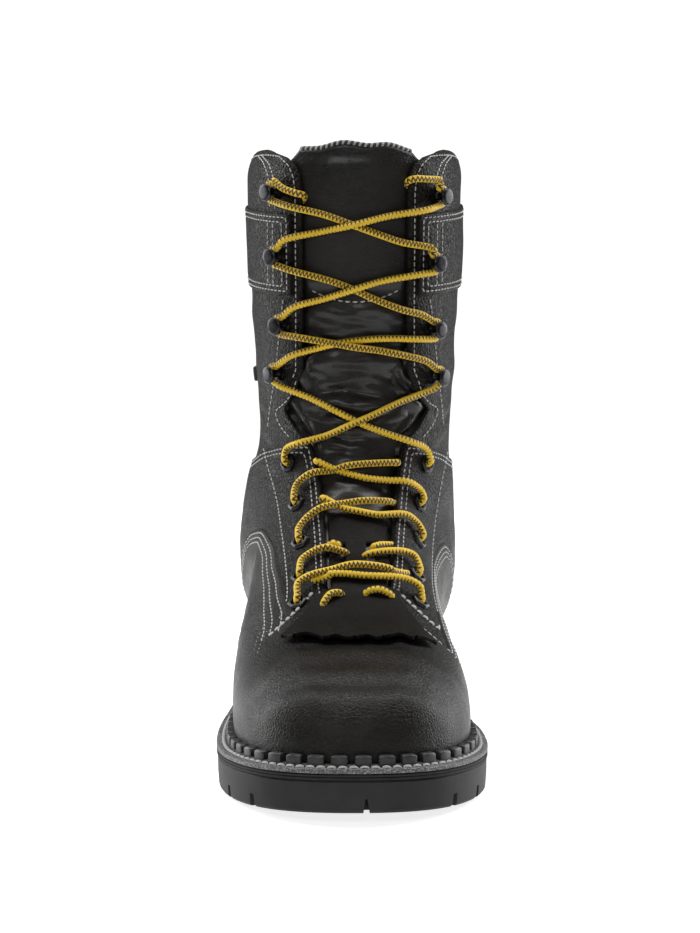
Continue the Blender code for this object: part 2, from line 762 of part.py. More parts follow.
def add_kiltie(form, finish, collection, cutters):
    bm = skin(form)
    clip(bm, lambda co, u: min(-0.1 - co.y, 0.41 * COLLAR_HEIGHT - co.z, 0.045 - abs(co.x)))
    bmesh.ops.subdivide_edges(bm, edges=bm.edges, cuts=1, use_grid_fill=True)
    bmesh.ops.triangulate(bm, faces=bm.faces)
    wave = lambda co: 0.0012 * math.cos(2 * math.pi * co.x / 0.0125) - 7.0 * co.x**2
    clip(bm, lambda co, u: co.y + 0.655 * LENGTH + wave(co))
    clip(bm, lambda co, u: 0.395 * COLLAR_HEIGHT - co.z)
    clip(bm, lambda co, u: kiltie_half(co) - abs(co.x - throat_middle(co.z)))
    top = lambda co, u: kiltie_lift(co, u) + KILTIE_THICK
    made = shell("kiltie", bm, kiltie_lift, top, finish, collection)
    slots = bmesh.new()
    for x, z, wide, tall in KILTIE_SLOTS:
        place = facing_out(*form.at(x * SHAFT_WIDTH, z * COLLAR_HEIGHT))
        bmesh.ops.create_cube(slots, size=1.0, matrix=place @ Matrix.Diagonal((wide, tall, 0.014, 1)))
    cut(made, slots, "kiltie_slots", cutters)
    return made


def frame_on(out):
    """Two directions along the surface: across the boot and up the front."""
    across = Vector((1, 0, 0))
    across = (across - out * across.dot(out)).normalized()
    return across, out.cross(across).normalized()


def facing_out(place, out):
    """Matrix of something that stands on the surface at a place, its Z along the normal."""
    across, up = frame_on(out)
    turn = Matrix((across, up, out)).transposed().to_4x4()
    return Matrix.Translation(place) @ turn


def turned(name, profile, place, out, sides, finish, collection):
    """Turned solid: a profile of (radius, height) down its outer side, screwed round a surface normal."""
    bm = bmesh.new()
    verts = [bm.verts.new((radius, 0, height)) for radius, height in profile]
    for a, b in zip(verts, verts[1:]):
        bm.edges.new((a, b))
    if profile[0][0] > 0:
        bm.edges.new((verts[-1], verts[0]))
    made = from_bmesh(name, bm, finish, collection)
    made.matrix_world = facing_out(place, out)
    screw = made.modifiers.new("Turn", "SCREW")
    screw.steps = screw.render_steps = sides
    screw.use_merge_vertices = True
    screw.merge_threshold = 0.00001
    return made


def stud_places(table):
    """For each row, the (x, z) places on the left (lateral) and right (medial) side."""
    return [((-lx * SHAFT_WIDTH, lz * COLLAR_HEIGHT), (rx * SHAFT_WIDTH, rz * COLLAR_HEIGHT)) for lz, lx, rz, rx in table]


def hook_base(z):
    """Height above the form of the leather under a hook."""
    return GAP + (BAND_THICK + GAP if BAND_LOW - 0.004 < z < BAND_HIGH + 0.004 else 0.0)


EYELET_BASE = QUARTER_THICK + 4 * GAP


def add_hardware(form, uppers, finish, collection, cutters):
    holes = bmesh.new()
    sides = ("lateral", "medial")
    for i, places in enumerate(stud_places(EYELETS)):
        for side, (x, z) in zip(sides, places):
            place, out = form.at(x, z)
            low, high = EYELET_BASE, EYELET_BASE + EYELET_THICK
            profile = [(EYELET_IN, high), (EYELET_OUT * 0.88, high), (EYELET_OUT, low), (EYELET_IN, low)]
            turned(f"eyelet_{side}_{i + 1}", profile, place, out, 6, finish, collection)
            radius = EYELET_IN + 0.0003
            matrix = facing_out(place, out)
            bmesh.ops.create_cone(
                holes, cap_ends=True, segments=6, radius1=radius, radius2=radius, depth=0.012, matrix=matrix
            )
    cut(uppers[0], holes, "eyelet_holes", cutters)
    for made in uppers[1:]:
        boolean = made.modifiers.new("eyelet_holes", "BOOLEAN")
        boolean.solver = "EXACT"
        boolean.operation = "DIFFERENCE"
        boolean.object = uppers[0].modifiers[-1].object
    for i, places in enumerate(stud_places(HOOKS)):
        for side, (x, z) in zip(sides, places):
            place, out = form.at(x, z)
            low, high = hook_base(z), hook_base(z) + HOOK_HEIGHT
            profile = [
                (0.0, high),
                (HOOK_HEAD * 0.84, high),
                (HOOK_HEAD, high - 0.0007),
                (HOOK_STEM, high - 0.0014),
                (HOOK_STEM, low + 0.0008),
                (HOOK_HEAD * 0.92, low),
                (0.0, low),
            ]
            turned(f"hook_{side}_{i + 1}", profile, place, out, 7, finish, collection)


def tube(name, points, finish, collection):
    """Length of lace as a mesh: a bevelled curve through the points, with its caps welded."""
    data = bpy.data.curves.new(name, "CURVE")
    data.dimensions = "3D"
    data.bevel_depth = LACE / 2
    data.bevel_resolution = 1
    data.use_fill_caps = True
    spline = data.splines.new("POLY")
    spline.points.add(len(points) - 1)
    for target, point in zip(spline.points, points):
        target.co = (*point, 1.0)
    curve = bpy.data.objects.new(name, data)
    collection.objects.link(curve)
    bpy.context.view_layer.update()
    evaluated = curve.evaluated_get(bpy.context.evaluated_depsgraph_get())
    mesh = bpy.data.meshes.new_from_object(evaluated)
    bpy.data.objects.remove(curve)
    bm = bmesh.new()
    bm.from_mesh(mesh)
    bpy.data.meshes.remove(mesh)
    bmesh.ops.remove_doubles(bm, verts=bm.verts, dist=0.00001)
    bmesh.ops.recalc_face_normals(bm, faces=bm.faces)
    return bm


class Lacing:
    """Lace strands as places (x, z, height above the form) turned into tubes."""

    def __init__(self, form, finish, collection, cutters):
        self.form, self.finish, self.collection, self.cutters = form, finish, collection, cutters
        self.eyelets, self.hooks = stud_places(EYELETS), stud_places(HOOKS)

    def point(self, x, z, height):
        place, out = self.form.at(x, z)
        return place + out * height

    def floor(self, z):
        """Height of a strand's middle when it rests in the throat."""
        kiltie = float(smooth((0.41 - z / COLLAR_HEIGHT) / 0.01)) * (KILTIE_THICK + GAP)
        rise = (TONGUE_DROP + VAMP_THICK + GAP) * kiltie_rise(z)
        return -TONGUE_DROP + LACE / 2 + 2 * GAP + kiltie + rise

    def beside(self, place, across, up, height):
        """Point beside a stud at (x, z), measured along the surface's own plane there."""
        point, out = self.form.at(*place)
        sideways, upwards = frame_on(out)
        return point + sideways * across + upwards * up + out * height

    def from_eyelet(self, side, i, goal):
        """Out of an eyelet and over its rim towards a goal in (x, z)."""
        place = self.eyelets[i][side]
        way = Vector((goal[0] - place[0], goal[1] - place[1])).normalized()
        base = EYELET_BASE + EYELET_THICK
        steps = ((0.0, base - 0.0018), (0.0004, base + 0.0010), (0.0024, base + 0.0024), (0.0060, base + 0.0028))
        return [self.beside(place, way.x * run, way.y * run, height) for run, height in steps]

    def round_hook(self, side, i, above):
        """From the outer side of a hook's stem, round above or below it, towards the throat."""
        place = self.hooks[i][side]
        out = -1 if side == 0 else 1
        up = 1 if above else -1
        height = hook_base(place[1]) + 0.0010 + LACE / 2 + GAP
        ring = HOOK_STEM + LACE / 2 + GAP
        steps = ((0.95, 0.42), (0.55, 0.97), (-0.60, 1.05))
        return [self.beside(place, out * ring * a, up * ring * b, height) for a, b in steps]

    def over_facing(self, start, goal):
        """Waypoint just over the facing's edge on the straight way from a start to a goal in (x, z)."""
        middle = throat_middle((start[1] + goal[1]) / 2)
        side = -1 if start[0] < middle else 1
        z_edge = start[1]
        for _ in range(4):
            edge = throat_middle(z_edge) + side * (throat_half(z_edge) + 0.0006)
            t = (edge - start[0]) / (goal[0] - start[0])
            z_edge = start[1] + (goal[1] - start[1]) * t
        leather = GAP + QUARTER_THICK if z_edge < 0.51 * COLLAR_HEIGHT else 0.0
        clear = GAP + LACE / 2 + 0.0008
        if BAND_LOW - LACE < z_edge < BAND_HIGH + LACE:
            out = edge + side * 0.0046
            return [(out, z_edge, GAP + BAND_THICK + clear), (edge, z_edge, clear + 0.0005)]
        kiltie = self.floor(z_edge) + 0.0006 if z_edge < 0.40 * COLLAR_HEIGHT else 0.0
        return [(edge, z_edge, max(leather + clear, kiltie))]

    def strand(self, places):
        return [place if isinstance(place, Vector) else self.point(*place) for place in places]

    def build(self, name, *strands):
        tubes = [tube(name, self.strand(places), self.finish, self.collection) for places in strands]
        made = from_bmesh(name, tubes[0], self.finish, self.collection)
        for other in tubes[1:]:
            cut(made, other, name + "_second", self.cutters, "UNION")
        return made

    def tuck(self, side, z):
        sign = -1 if side == 0 else 1
        x = throat_middle(z) + sign * (throat_half(z) - LACE / 2 - 0.0002)
        return (x, z, self.floor(z) + 0.0005)

    def tuck_row(self, name, i, left_tuck, right_tuck):
        strands = []
        for side, tuck_z, over in ((0, right_tuck, True), (1, left_tuck, False)):
            tuck_z *= COLLAR_HEIGHT
            end = self.tuck(1 - side, tuck_z)
            start = self.eyelets[i][side]
            first = self.from_eyelet(side, i, end)
            middle_z = (start[1] + 2 * tuck_z) / 3
            middle_x = throat_middle(middle_z)
            rest = self.floor(middle_z) + 0.0006 + (0.0026 if over else 0.0)
            edge = self.over_facing(start, (middle_x, middle_z))
            before = (-0.0045 if side == 0 else 0.0045) + middle_x
            after = (0.0045 if side == 0 else -0.0045) + middle_x
            slope = (tuck_z - middle_z) / (end[0] - middle_x)
            strands.append(
                first
                + edge
                + [
                    (before, middle_z + slope * (before - middle_x), rest),
                    (after, middle_z + slope * (after - middle_x), rest),
                    end,
                ]
            )
        return self.build(name, *strands)

    def hook_row(self, name, lows, highs, over_side):
        """Two strands crossing: lows and highs are ("eyelet" or "hook", number) at the row's foot and head."""
        strands = []
        for side in (over_side, 1 - over_side):
            kind, i = lows
            head = self.hooks[highs[1]][1 - side]
            foot = self.eyelets[i][side] if kind == "eyelet" else self.hooks[i][side]
            if kind == "eyelet":
                first = self.from_eyelet(side, i, head)
            else:
                first = self.round_hook(side, i, True)
            last = self.round_hook(1 - side, highs[1], False)[::-1]
            a, b = (first[-1].x, first[-1].z), (last[0].x, last[0].z)
            t = (throat_middle(a[1]) - a[0]) / (b[0] - a[0])
            middle_z = a[1] + (b[1] - a[1]) * t
            raised = 0.0026 if side == over_side else 0.0
            slope = (b[1] - a[1]) / (b[0] - a[0])
            way = 1 if b[0] > a[0] else -1
            x = a[0] + (b[0] - a[0]) * t
            across = []
            for run in (-0.0130, -0.0045, 0.0045, 0.0130):
                z = middle_z + slope * way * run
                ease = 0.0 if abs(run) < 0.01 else 0.0046 if kind == "eyelet" and run < 0 else 0.0008
                across.append((x + way * run, z, self.floor(z) + raised + ease))
            mids = self.over_facing(a, (x, middle_z)) + across + self.over_facing(b, (x, middle_z))[::-1]
            strands.append(first + mids + last)
        return self.build(name, *strands)

    def all(self):
        for name, i, left, right in TUCK_ROWS:
            self.tuck_row(name, i, left, right)
        self.slot_row()
        self.bottom_bar()
        self.hook_row("lace_row_6", ("eyelet", 4), ("hook", 0), 0)
        self.hook_row("lace_row_7", ("hook", 0), ("hook", 1), 0)
        self.hook_row("lace_row_8", ("hook", 1), ("hook", 2), 0)
        self.hook_row("lace_row_9", ("hook", 2), ("hook", 3), 0)
        for side, name, x, z in ((0, "lace_end_lateral", -0.222, 0.912), (1, "lace_end_medial", 0.222, 0.945)):
            first = self.round_hook(side, 3, True)
            sign = -1 if side == 0 else 1
            x, z = x * SHAFT_WIDTH, z * COLLAR_HEIGHT
            over = [(x + sign * 0.0030, z + 0.0006, 0.0032), (x + sign * 0.0002, z, 0.0021)]
            self.build(name, first + over + [(x - sign * 0.0010, z, self.floor(z) + 0.0012)])

    def slot_row(self):
        """Third row: both strands dive through the kiltie's upper slots, so each side shows one short bent piece."""
        left_slot, right_slot = KILTIE_SLOTS[0], KILTIE_SLOTS[1]
        for side, slot, tuck_z in ((0, left_slot, 0.349), (1, right_slot, 0.356)):
            x, z = slot[0] * SHAFT_WIDTH, slot[1] * COLLAR_HEIGHT
            end = (x, z - 0.0004, self.floor(z) - 0.0006)
            first = self.from_eyelet(side, 1, end)
            edge = self.over_facing(self.eyelets[1][side], (end[0], end[1]))
            sign = -1 if side == 0 else 1
            near = (x + sign * 0.0035, z - 0.0012, self.floor(z) + 0.0008)
            out = self.tuck(side, tuck_z * COLLAR_HEIGHT)
            name = "lace_row_3_lateral" if side == 0 else "lace_row_3_medial"
            back = [(x + sign * 0.0008, z - 0.0002, self.floor(z) - 0.0004)]
            back += [(x + sign * 0.0024, z + 0.0014, self.floor(z)), out]
            self.build(name, first + edge + [near, end], back)

    def bottom_bar(self):
        for name, x0, z0, x1, z1 in BAR_STUBS:
            a = (x0 * SHAFT_WIDTH, z0 * COLLAR_HEIGHT)
            b = (x1 * SHAFT_WIDTH, z1 * COLLAR_HEIGHT)
            places = []
            for t, up in ((0.0, 0.0003), (0.35, 0.0008), (0.65, 0.0008), (1.0, 0.0003)):
                x, z = a[0] + (b[0] - a[0]) * t, a[1] + (b[1] - a[1]) * t
                places.append((x, z, self.floor(z) + up))
            self.build(name, places)


def span(outline, y):
    """The outline's two x places at a y, in numbers."""
    lateral, medial = half_spans(sides_of(outline), y)
    return float(lateral), float(medial)


def slab(outline, top, bottom, taper=0.0, sections=SECTIONS):
    """Plate with an outline seen from above, between two heights that depend on y; its foot may taper in."""
    sides = sides_of(outline)
    start, stop = sides[0][0, 0], sides[0][-1, 0]
    ends = y_of(1.0), y_of(0.0)
    ys = ends[0] + (ends[1] - ends[0]) * (1 - np.cos(np.linspace(0, math.pi, sections))) / 2
    ys = np.concatenate([[start], ys[(ys > start + 0.0002) & (ys < stop - 0.0002)], [stop]])
    bm = bmesh.new()
    rows = []
    for i, y in enumerate(ys):
        left, right = (float(v) for v in half_spans(sides, y))
        high, low = float(top(y)), float(bottom(y))
        if right - left < 2.2 * taper + 1e-5:
            middle = (left + right) / 2
            shift = taper if i == 0 else -taper
            rows.append([bm.verts.new((middle, y, high))] * 2 + [bm.verts.new((middle, y + shift, low))] * 2)
            continue
        rows.append(
            [
                bm.verts.new((left, y, high)),
                bm.verts.new((right, y, high)),
                bm.verts.new((right - taper, y, low)),
                bm.verts.new((left + taper, y, low)),
            ]
        )
    for a, b in zip(rows, rows[1:]):
        for j in range(4):
            k = (j + 1) % 4
            corners = []
            for vert in (a[j], a[k], b[k], b[j]):
                if vert not in corners:
                    corners.append(vert)
            if len(corners) > 2:
                bm.faces.new(corners)
    for row in (rows[0], rows[-1]):
        if row[0] is not row[1]:
            bm.faces.new(row)
    bmesh.ops.recalc_face_normals(bm, faces=bm.faces)
    return bm


def box_between(bm, floor, ceiling):
    """Box from four corners given round its plan, with a floor height and a ceiling height for each corner."""
    low = [bm.verts.new((x, y, z)) for (x, y), z in zip(floor[0], floor[1])]
    high = [bm.verts.new((x, y, z)) for (x, y), z in zip(floor[0], ceiling)]
    bm.faces.new(low)
    bm.faces.new(high)
    for i in range(4):
        k = (i + 1) % 4
        bm.faces.new((low[i], low[k], high[k], high[i]))


def cut(made, cutter_bm, name, cutters, mode="DIFFERENCE"):
    bmesh.ops.recalc_face_normals(cutter_bm, faces=cutter_bm.faces)
    cutter = from_bmesh(name, cutter_bm, None, cutters)
    cutter.hide_render = True
    cutter.display_type = "WIRE"
    boolean = made.modifiers.new(name, "BOOLEAN")
    boolean.solver = "EXACT"
    boolean.operation = mode
    boolean.object = cutter


def plate_top(y):
    """Top of the outsole under the midsole."""
    return seat_z(y) - WELT - MIDSOLE


def outsole_foot(y):
    """Underside of the outsole: on the floor under the ball, sprung at the toe, a thin plate at waist and heel."""
    s = station_of(y)
    waist = plate_top(y) - WAIST_PLATE
    share = smooth((s - 0.430) / (0.505 - 0.430))
    return waist + (spring_z(s) - waist) * share


def bar(start, end, half):
    """Four corners of a straight strip between two places in plan."""
    a, b = np.array(start, float), np.array(end, float)
    along = (b - a) / np.linalg.norm(b - a)
    side = np.array([-along[1], along[0]]) * half
    return [tuple(a - side), tuple(b - side), tuple(b + side), tuple(a + side)]


def groove(bm, corners, roof):
    box_between(bm, (corners, [-0.010] * 4), [roof(y) for _, y in corners])


# Notches cut into the edge of the forepart's tread: y along the edge and how far forward the inner end lies,
# as shares of the length, and the width and depth inwards as shares of the ball width.
NOTCH_COLUMNS = ("y", "lead", "wide", "deep")
NOTCHES = (
    (-0.455, 0.012, 0.045, 0.22),
    (-0.530, 0.010, 0.045, 0.22),
    (-0.605, 0.006, 0.045, 0.22),
    (-0.680, -0.004, 0.045, 0.22),
    (-0.755, -0.016, 0.045, 0.22),
    (-0.820, -0.030, 0.042, 0.20),
)


def add_outsole(outline, finish, collection, cutters):
    low = inset(outline, 0.0006)
    bm = slab(low, lambda y: plate_top(y) - GAP, outsole_foot, taper=0.0010)
    made = from_bmesh("outsole", bm, finish, collection)
    roof = lambda y: spring_z(station_of(y)) + LUG_DEPTH
    edge = bmesh.new()
    for y, lead, wide, deep in NOTCHES:
        place = y * LENGTH
        left, right = span(outline, place)
        for x, sign in ((left, -1), (right, 1)):
            inner = (x - sign * deep * BALL_WIDTH, place - lead * LENGTH)
            outer = (x + sign * 0.02, place + lead * LENGTH * 0.02 / (deep * BALL_WIDTH))
            groove(edge, bar(inner, outer, wide * BALL_WIDTH / 2), roof)
    toe = sides_of(outline)[0][0]
    groove(edge, bar((toe[1], toe[0] + 0.020), (toe[1], toe[0] - 0.02), 0.0030), roof)
    cut(made, edge, "edge_notches", cutters)
    middle = bmesh.new()
    for i, y in enumerate((-0.50, -0.575, -0.65, -0.725, -0.795)):
        left, right = span(outline, y * LENGTH)
        centre, reach = (left + right) / 2, (right - left) / 2 - 0.290 * BALL_WIDTH
        groove(middle, bar((centre - reach, y * LENGTH), (centre + reach, y * LENGTH), 0.0026), roof)
    cut(made, middle, "middle_notches", cutters)
    return made


def heel_block(outline):
    """Loop round the heel block in plan, from its breast's lateral corner round the back."""
    breast = HEEL_BACK - HEEL_LENGTH
    lateral, medial = sides_of(outline)
    ys = breast + (lateral[-1, 0] - breast) * np.sin(np.linspace(0, math.pi / 2, 11))
    left = [(float(np.interp(y, lateral[:, 0], lateral[:, 1])), y) for y in ys]
    right = [(float(np.interp(y, medial[:, 0], medial[:, 1])), y) for y in ys]
    return left + right[-2::-1]


def add_heel(outline, finish, collection, cutters):
    loop = heel_block(inset(outline, 0.0010))
    breast = HEEL_BACK - HEEL_LENGTH
    top = float(plate_top(0.0)) - WAIST_PLATE - GAP
    bm = bmesh.new()
    high = [bm.verts.new((x, y, top)) for x, y in loop]
    low = []
    for x, y in loop:
        back = (y - breast) / HEEL_LENGTH
        low.append(bm.verts.new((x * (1 - HEEL_TAPER / 0.041), y - HEEL_UNDERCUT * back + 0.004 * (1 - back), 0.0)))
    bm.faces.new(high)
    bm.faces.new(low)
    for i in range(len(loop)):
        k = (i + 1) % len(loop)
        bm.faces.new((high[i], high[k], low[k], low[i]))
    bmesh.ops.recalc_face_normals(bm, faces=bm.faces)
    made = from_bmesh("heel", bm, finish, collection)
    roof = lambda y: LUG_DEPTH
    notches = bmesh.new()
    for y in (0.012, -0.006, -0.024):
        left, right = span(outline, y)
        for x, sign in ((left, -1), (right, 1)):
            groove(notches, bar((x - sign * 0.022, y - 0.003), (x + sign * 0.02, y + 0.003), 0.0024), roof)
    for x in (-0.011, 0.011):
        groove(notches, bar((x * 0.6, 0.014), (x * 1.35, 0.060), 0.0024), roof)
    groove(notches, bar((0.0, -0.0175), (0.0, -0.060), 0.0024), roof)
    cut(made, notches, "heel_notches", cutters)
    return made


def add_welt(form, outline, finish, collection, cutters):
    hump = lambda y: 0.0007 * smooth((station_of(y) - 0.15) / 0.1) * smooth((0.62 - station_of(y)) / 0.1)
    bm = slab(outline, lambda y: seat_z(y) - 2 * GAP - hump(y), lambda y: seat_z(y) - WELT)
    made = from_bmesh("welt", bm, finish, collection)
    ribs = bmesh.new()
    back = smooth((0.66 - station_of(outline[:, 1])) / 0.14)
    inner = inset(outline, RIB_INNER - 0.0020 * back)
    outer = inset(outline, RIB_INNER - RIB_THICK - 0.0020 * back)
    steps = np.concatenate([[0], np.cumsum(np.linalg.norm(np.diff(inner, axis=0), axis=1))])
    keep = inner[:, 1] < -0.36 * LENGTH
    first, last = steps[keep][0], steps[keep][-1]
    pitch = (last - first) / RIB_COUNT
    for i in range(RIB_COUNT):
        at = np.array([first + pitch * (i + 0.5 + side * 0.31) for side in (-1, 1)])
        a = [tuple(np.interp(t, steps, column) for column in inner.T) for t in at]
        b = [tuple(np.interp(t, steps, column) for column in outer.T) for t in at]
        corners = [a[0], a[1], b[1], b[0]]
        floor = [float(seat_z(y)) - WELT * 0.6 for _, y in corners]
        roof = [float(seat_z(y)) + RIB_HEIGHT for _, y in corners]
        box_between(ribs, (corners, floor), roof)
    cut(made, ribs, "rib_blocks", cutters, "UNION")
    return made


def add_insole(form, finish, collection):
    """Footbed that follows the foot of the upper's wall, from the lowest ring of the form."""
    ring, normals = form.points[0], form.normals[0]
    flat = normals * (1, 1, 0)
    flat /= np.linalg.norm(flat, axis=1)[:, None]
    loop = ring - flat * (WALL + 4 * GAP)
    bm = slab(
        np.delete(loop, 2, axis=1),
        lambda y: seat_z(y) + GAP + INSOLE,
        lambda y: seat_z(y) + GAP,
    )
    return from_bmesh("insole", bm, finish, collection)


def main():
    for old in list(bpy.data.objects):
        bpy.data.objects.remove(old)
    boot = bpy.data.collections.new("logger_boot")
    cutters = bpy.data.collections.new("cutters")
    for made in (boot, cutters):
        bpy.context.scene.collection.children.link(made)
    finishes = {
        "smooth": material("black_leather", (0.020, 0.019, 0.018), 0.42),
        "grained": material("grained_leather", (0.024, 0.023, 0.022), 0.50),
        "rubber": material("black_rubber", (0.030, 0.030, 0.031), 0.75),
        "midsole": material("grey_midsole", (0.085, 0.085, 0.088), 0.70),
        "welt": material("grey_welt", (0.35, 0.35, 0.36), 0.65),
        "metal": material("dark_metal", (0.10, 0.10, 0.105), 0.35, 1.0),
        "lace": material("yellow_lace", (0.60, 0.38, 0.06), 0.80),
        "footbed": material("footbed_fabric", (0.05, 0.05, 0.052), 0.85),
    }
    form = Form()
    outline = sole_outline()
    add_outsole(outline, finishes["rubber"], boot, cutters)
    add_heel(outline, finishes["rubber"], boot, cutters)
    edge = inset(outline, 0.0003)
    bm = slab(edge, lambda y: seat_z(y) - WELT - GAP, lambda y: plate_top(y))
    from_bmesh("midsole", bm, finishes["midsole"], boot)
    add_welt(form, outline, finishes["welt"], boot, cutters)
    add_insole(form, finishes["footbed"], boot)
    upper = add_upper(form, finishes["grained"], boot)
    overlays = add_overlays(form, finishes, boot)
    add_side_tab(form, finishes["smooth"], boot)
    add_tongue(form, finishes["smooth"], boot)
    add_kiltie(form, finishes["smooth"], boot, cutters)
    pierced = [upper] + [made for made in overlays if made.name.startswith("quarter")]
    add_hardware(form, pierced, finishes["metal"], boot, cutters)
    Lacing(form, finishes["lace"], boot, cutters).all()


main()
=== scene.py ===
import math

import bpy
import numpy as np
from mathutils import Matrix, Vector


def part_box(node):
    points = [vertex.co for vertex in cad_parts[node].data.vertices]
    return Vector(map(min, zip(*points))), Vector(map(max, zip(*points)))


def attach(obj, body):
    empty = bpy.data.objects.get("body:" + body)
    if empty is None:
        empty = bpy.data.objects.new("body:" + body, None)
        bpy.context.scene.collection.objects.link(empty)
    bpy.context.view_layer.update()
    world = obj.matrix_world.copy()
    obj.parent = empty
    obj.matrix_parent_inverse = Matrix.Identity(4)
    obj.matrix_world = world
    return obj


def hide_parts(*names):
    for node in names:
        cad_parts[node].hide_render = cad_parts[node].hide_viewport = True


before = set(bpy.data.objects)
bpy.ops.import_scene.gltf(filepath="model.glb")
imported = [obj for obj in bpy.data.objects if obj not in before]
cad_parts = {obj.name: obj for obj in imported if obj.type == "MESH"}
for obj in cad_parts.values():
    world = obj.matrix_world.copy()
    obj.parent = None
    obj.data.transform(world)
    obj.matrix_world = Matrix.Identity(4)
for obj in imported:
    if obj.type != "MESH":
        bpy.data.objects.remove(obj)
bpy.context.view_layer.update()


# Sizes, in metres, and the shape tables of the model. Each table's first column is what the others follow.
def extent(node, axis):
    low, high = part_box(node)
    return high[axis] - low[axis]


LENGTH = extent("welt", 1)
BALL_WIDTH = extent("welt", 0) * 0.1195 / 0.1188
HEEL_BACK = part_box("welt")[1][1]
COLLAR_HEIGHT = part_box("upper")[1][2]
COLLAR_DIP = 0.012
SHAFT_WIDTH = 0.103
SHAFT_DEPTH = 0.138
TONGUE_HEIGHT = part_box("tongue")[1][2]
FORM_TOP = TONGUE_HEIGHT + 0.013
HEEL_RISE = 0.040
FOREPART = 0.0140
LUG_DEPTH = 0.0055
WAIST_PLATE = 0.0075
MIDSOLE = 0.0028
WELT = 0.0026
TOE_SPRING = 0.0052
HEEL_LENGTH = 0.084
HEEL_UNDERCUT = 0.005
HEEL_TAPER = 0.0015
INSOLE = 0.0035
WALL = 0.0022
FORE_MARGIN = 0.0096
HEEL_MARGIN = 0.0060
TOE_HEIGHT = 0.0600
VAMP_THICK = 0.0020
QUARTER_THICK = 0.0015
COUNTER_THICK = 0.0020
BAND_THICK = 0.0018
BACKSTAY_THICK = 0.0014
BACKSTAY_WIDTH = 0.020
BAND_LOW = 0.203
BAND_HIGH = 0.241
TONGUE_DROP = 0.0036
TONGUE_THICK = 0.0050
TONGUE_HALF = 0.041
KILTIE_THICK = 0.0015
KILTIE_HALF = 0.033
LACE = 0.0032

OUTLINE_COLUMNS = ("station", "lateral", "medial")
OUTLINE = (
    (0.00, 0.350, 0.350), (0.12, 0.358, 0.358), (0.25, 0.358, 0.350), (0.40, 0.385, 0.335), (0.50, 0.435, 0.355),
    (0.60, 0.485, 0.410), (0.70, 0.508, 0.470), (0.80, 0.505, 0.488), (0.90, 0.492, 0.482), (1.00, 0.490, 0.478),
)
TOE_ROUND, HEEL_ROUND, OUTLINE_POWER = 0.25, 0.145, 2.35

CREST_COLUMNS = ("station", "height", "power", "lateral_swell", "medial_swell")
CREST = (
    (0.00, 1.90, 3.2, 0.010, 0.010), (0.15, 2.30, 3.0, 0.030, 0.020), (0.32, 2.45, 2.6, 0.075, 0.040),
    (0.45, 2.02, 2.4, 0.085, 0.060), (0.55, 1.58, 2.4, 0.070, 0.062), (0.62, 1.34, 2.5, 0.050, 0.052),
    (0.68, 1.17, 2.6, 0.032, 0.036), (0.74, 1.07, 2.6, 0.018, 0.020), (0.80, 1.02, 2.6, 0.008, 0.008),
    (0.87, 1.00, 2.7, 0.000, 0.000), (1.00, 0.95, 2.7, 0.000, 0.000),
)
CREST_ROUND, CREST_POWER = 0.16, 2.5

SHAFT_COLUMNS = ("height", "width", "front", "back", "shift")
SHAFT = (
    (0.150, 0.70, 0.86, 0.165, -0.020), (0.185, 0.86, 0.84, 0.182, -0.030), (0.220, 0.95, 0.82, 0.190, -0.036),
    (0.280, 0.98, 0.75, 0.192, -0.038), (0.350, 0.955, 0.665, 0.190, -0.034), (0.400, 0.930, 0.680, 0.188, -0.024),
    (0.460, 0.885, 0.705, 0.186, -0.006), (0.550, 0.900, 0.722, 0.190, 0.000), (0.650, 0.940, 0.728, 0.202, 0.000),
    (0.750, 0.965, 0.735, 0.220, 0.000), (0.870, 0.990, 0.742, 0.240, 0.000), (1.000, 1.000, 0.748, 0.252, 0.000),
    (1.100, 1.000, 0.750, 0.256, 0.000),
)
SHAFT_POWER, BLEND = 2.25, 0.016

FAN = (
    (-0.71, 0.40, 0.0), (-0.71, 0.42, 18.0), (-0.69, 0.43, 50.0), (-0.65, 0.45, 90.0), (-0.53, 0.60, 88.0),
    (-0.38, 0.75, 62.0), (-0.24, 1.25, 38.0), (-0.15, 2.20, 10.0), (-0.13, 4.76, 0.0),
)

THROAT_COLUMNS = ("height", "half", "middle")
THROAT = (
    (0.000, -0.500, 0.015), (0.250, -0.100, 0.015), (0.257, 0.000, 0.015), (0.264, 0.080, 0.015),
    (0.276, 0.125, 0.016), (0.305, 0.142, 0.017), (0.350, 0.150, 0.018), (0.440, 0.175, 0.018),
    (0.490, 0.200, 0.014), (0.515, 0.270, 0.010), (0.548, 0.335, 0.006), (0.585, 0.275, 0.000),
    (0.622, 0.240, 0.000), (0.740, 0.238, 0.000), (0.930, 0.240, 0.000), (0.956, 0.248, 0.000),
    (0.976, 0.270, 0.000), (0.990, 0.315, 0.000), (1.000, 0.400, 0.000), (1.100, 1.200, 0.000),
)

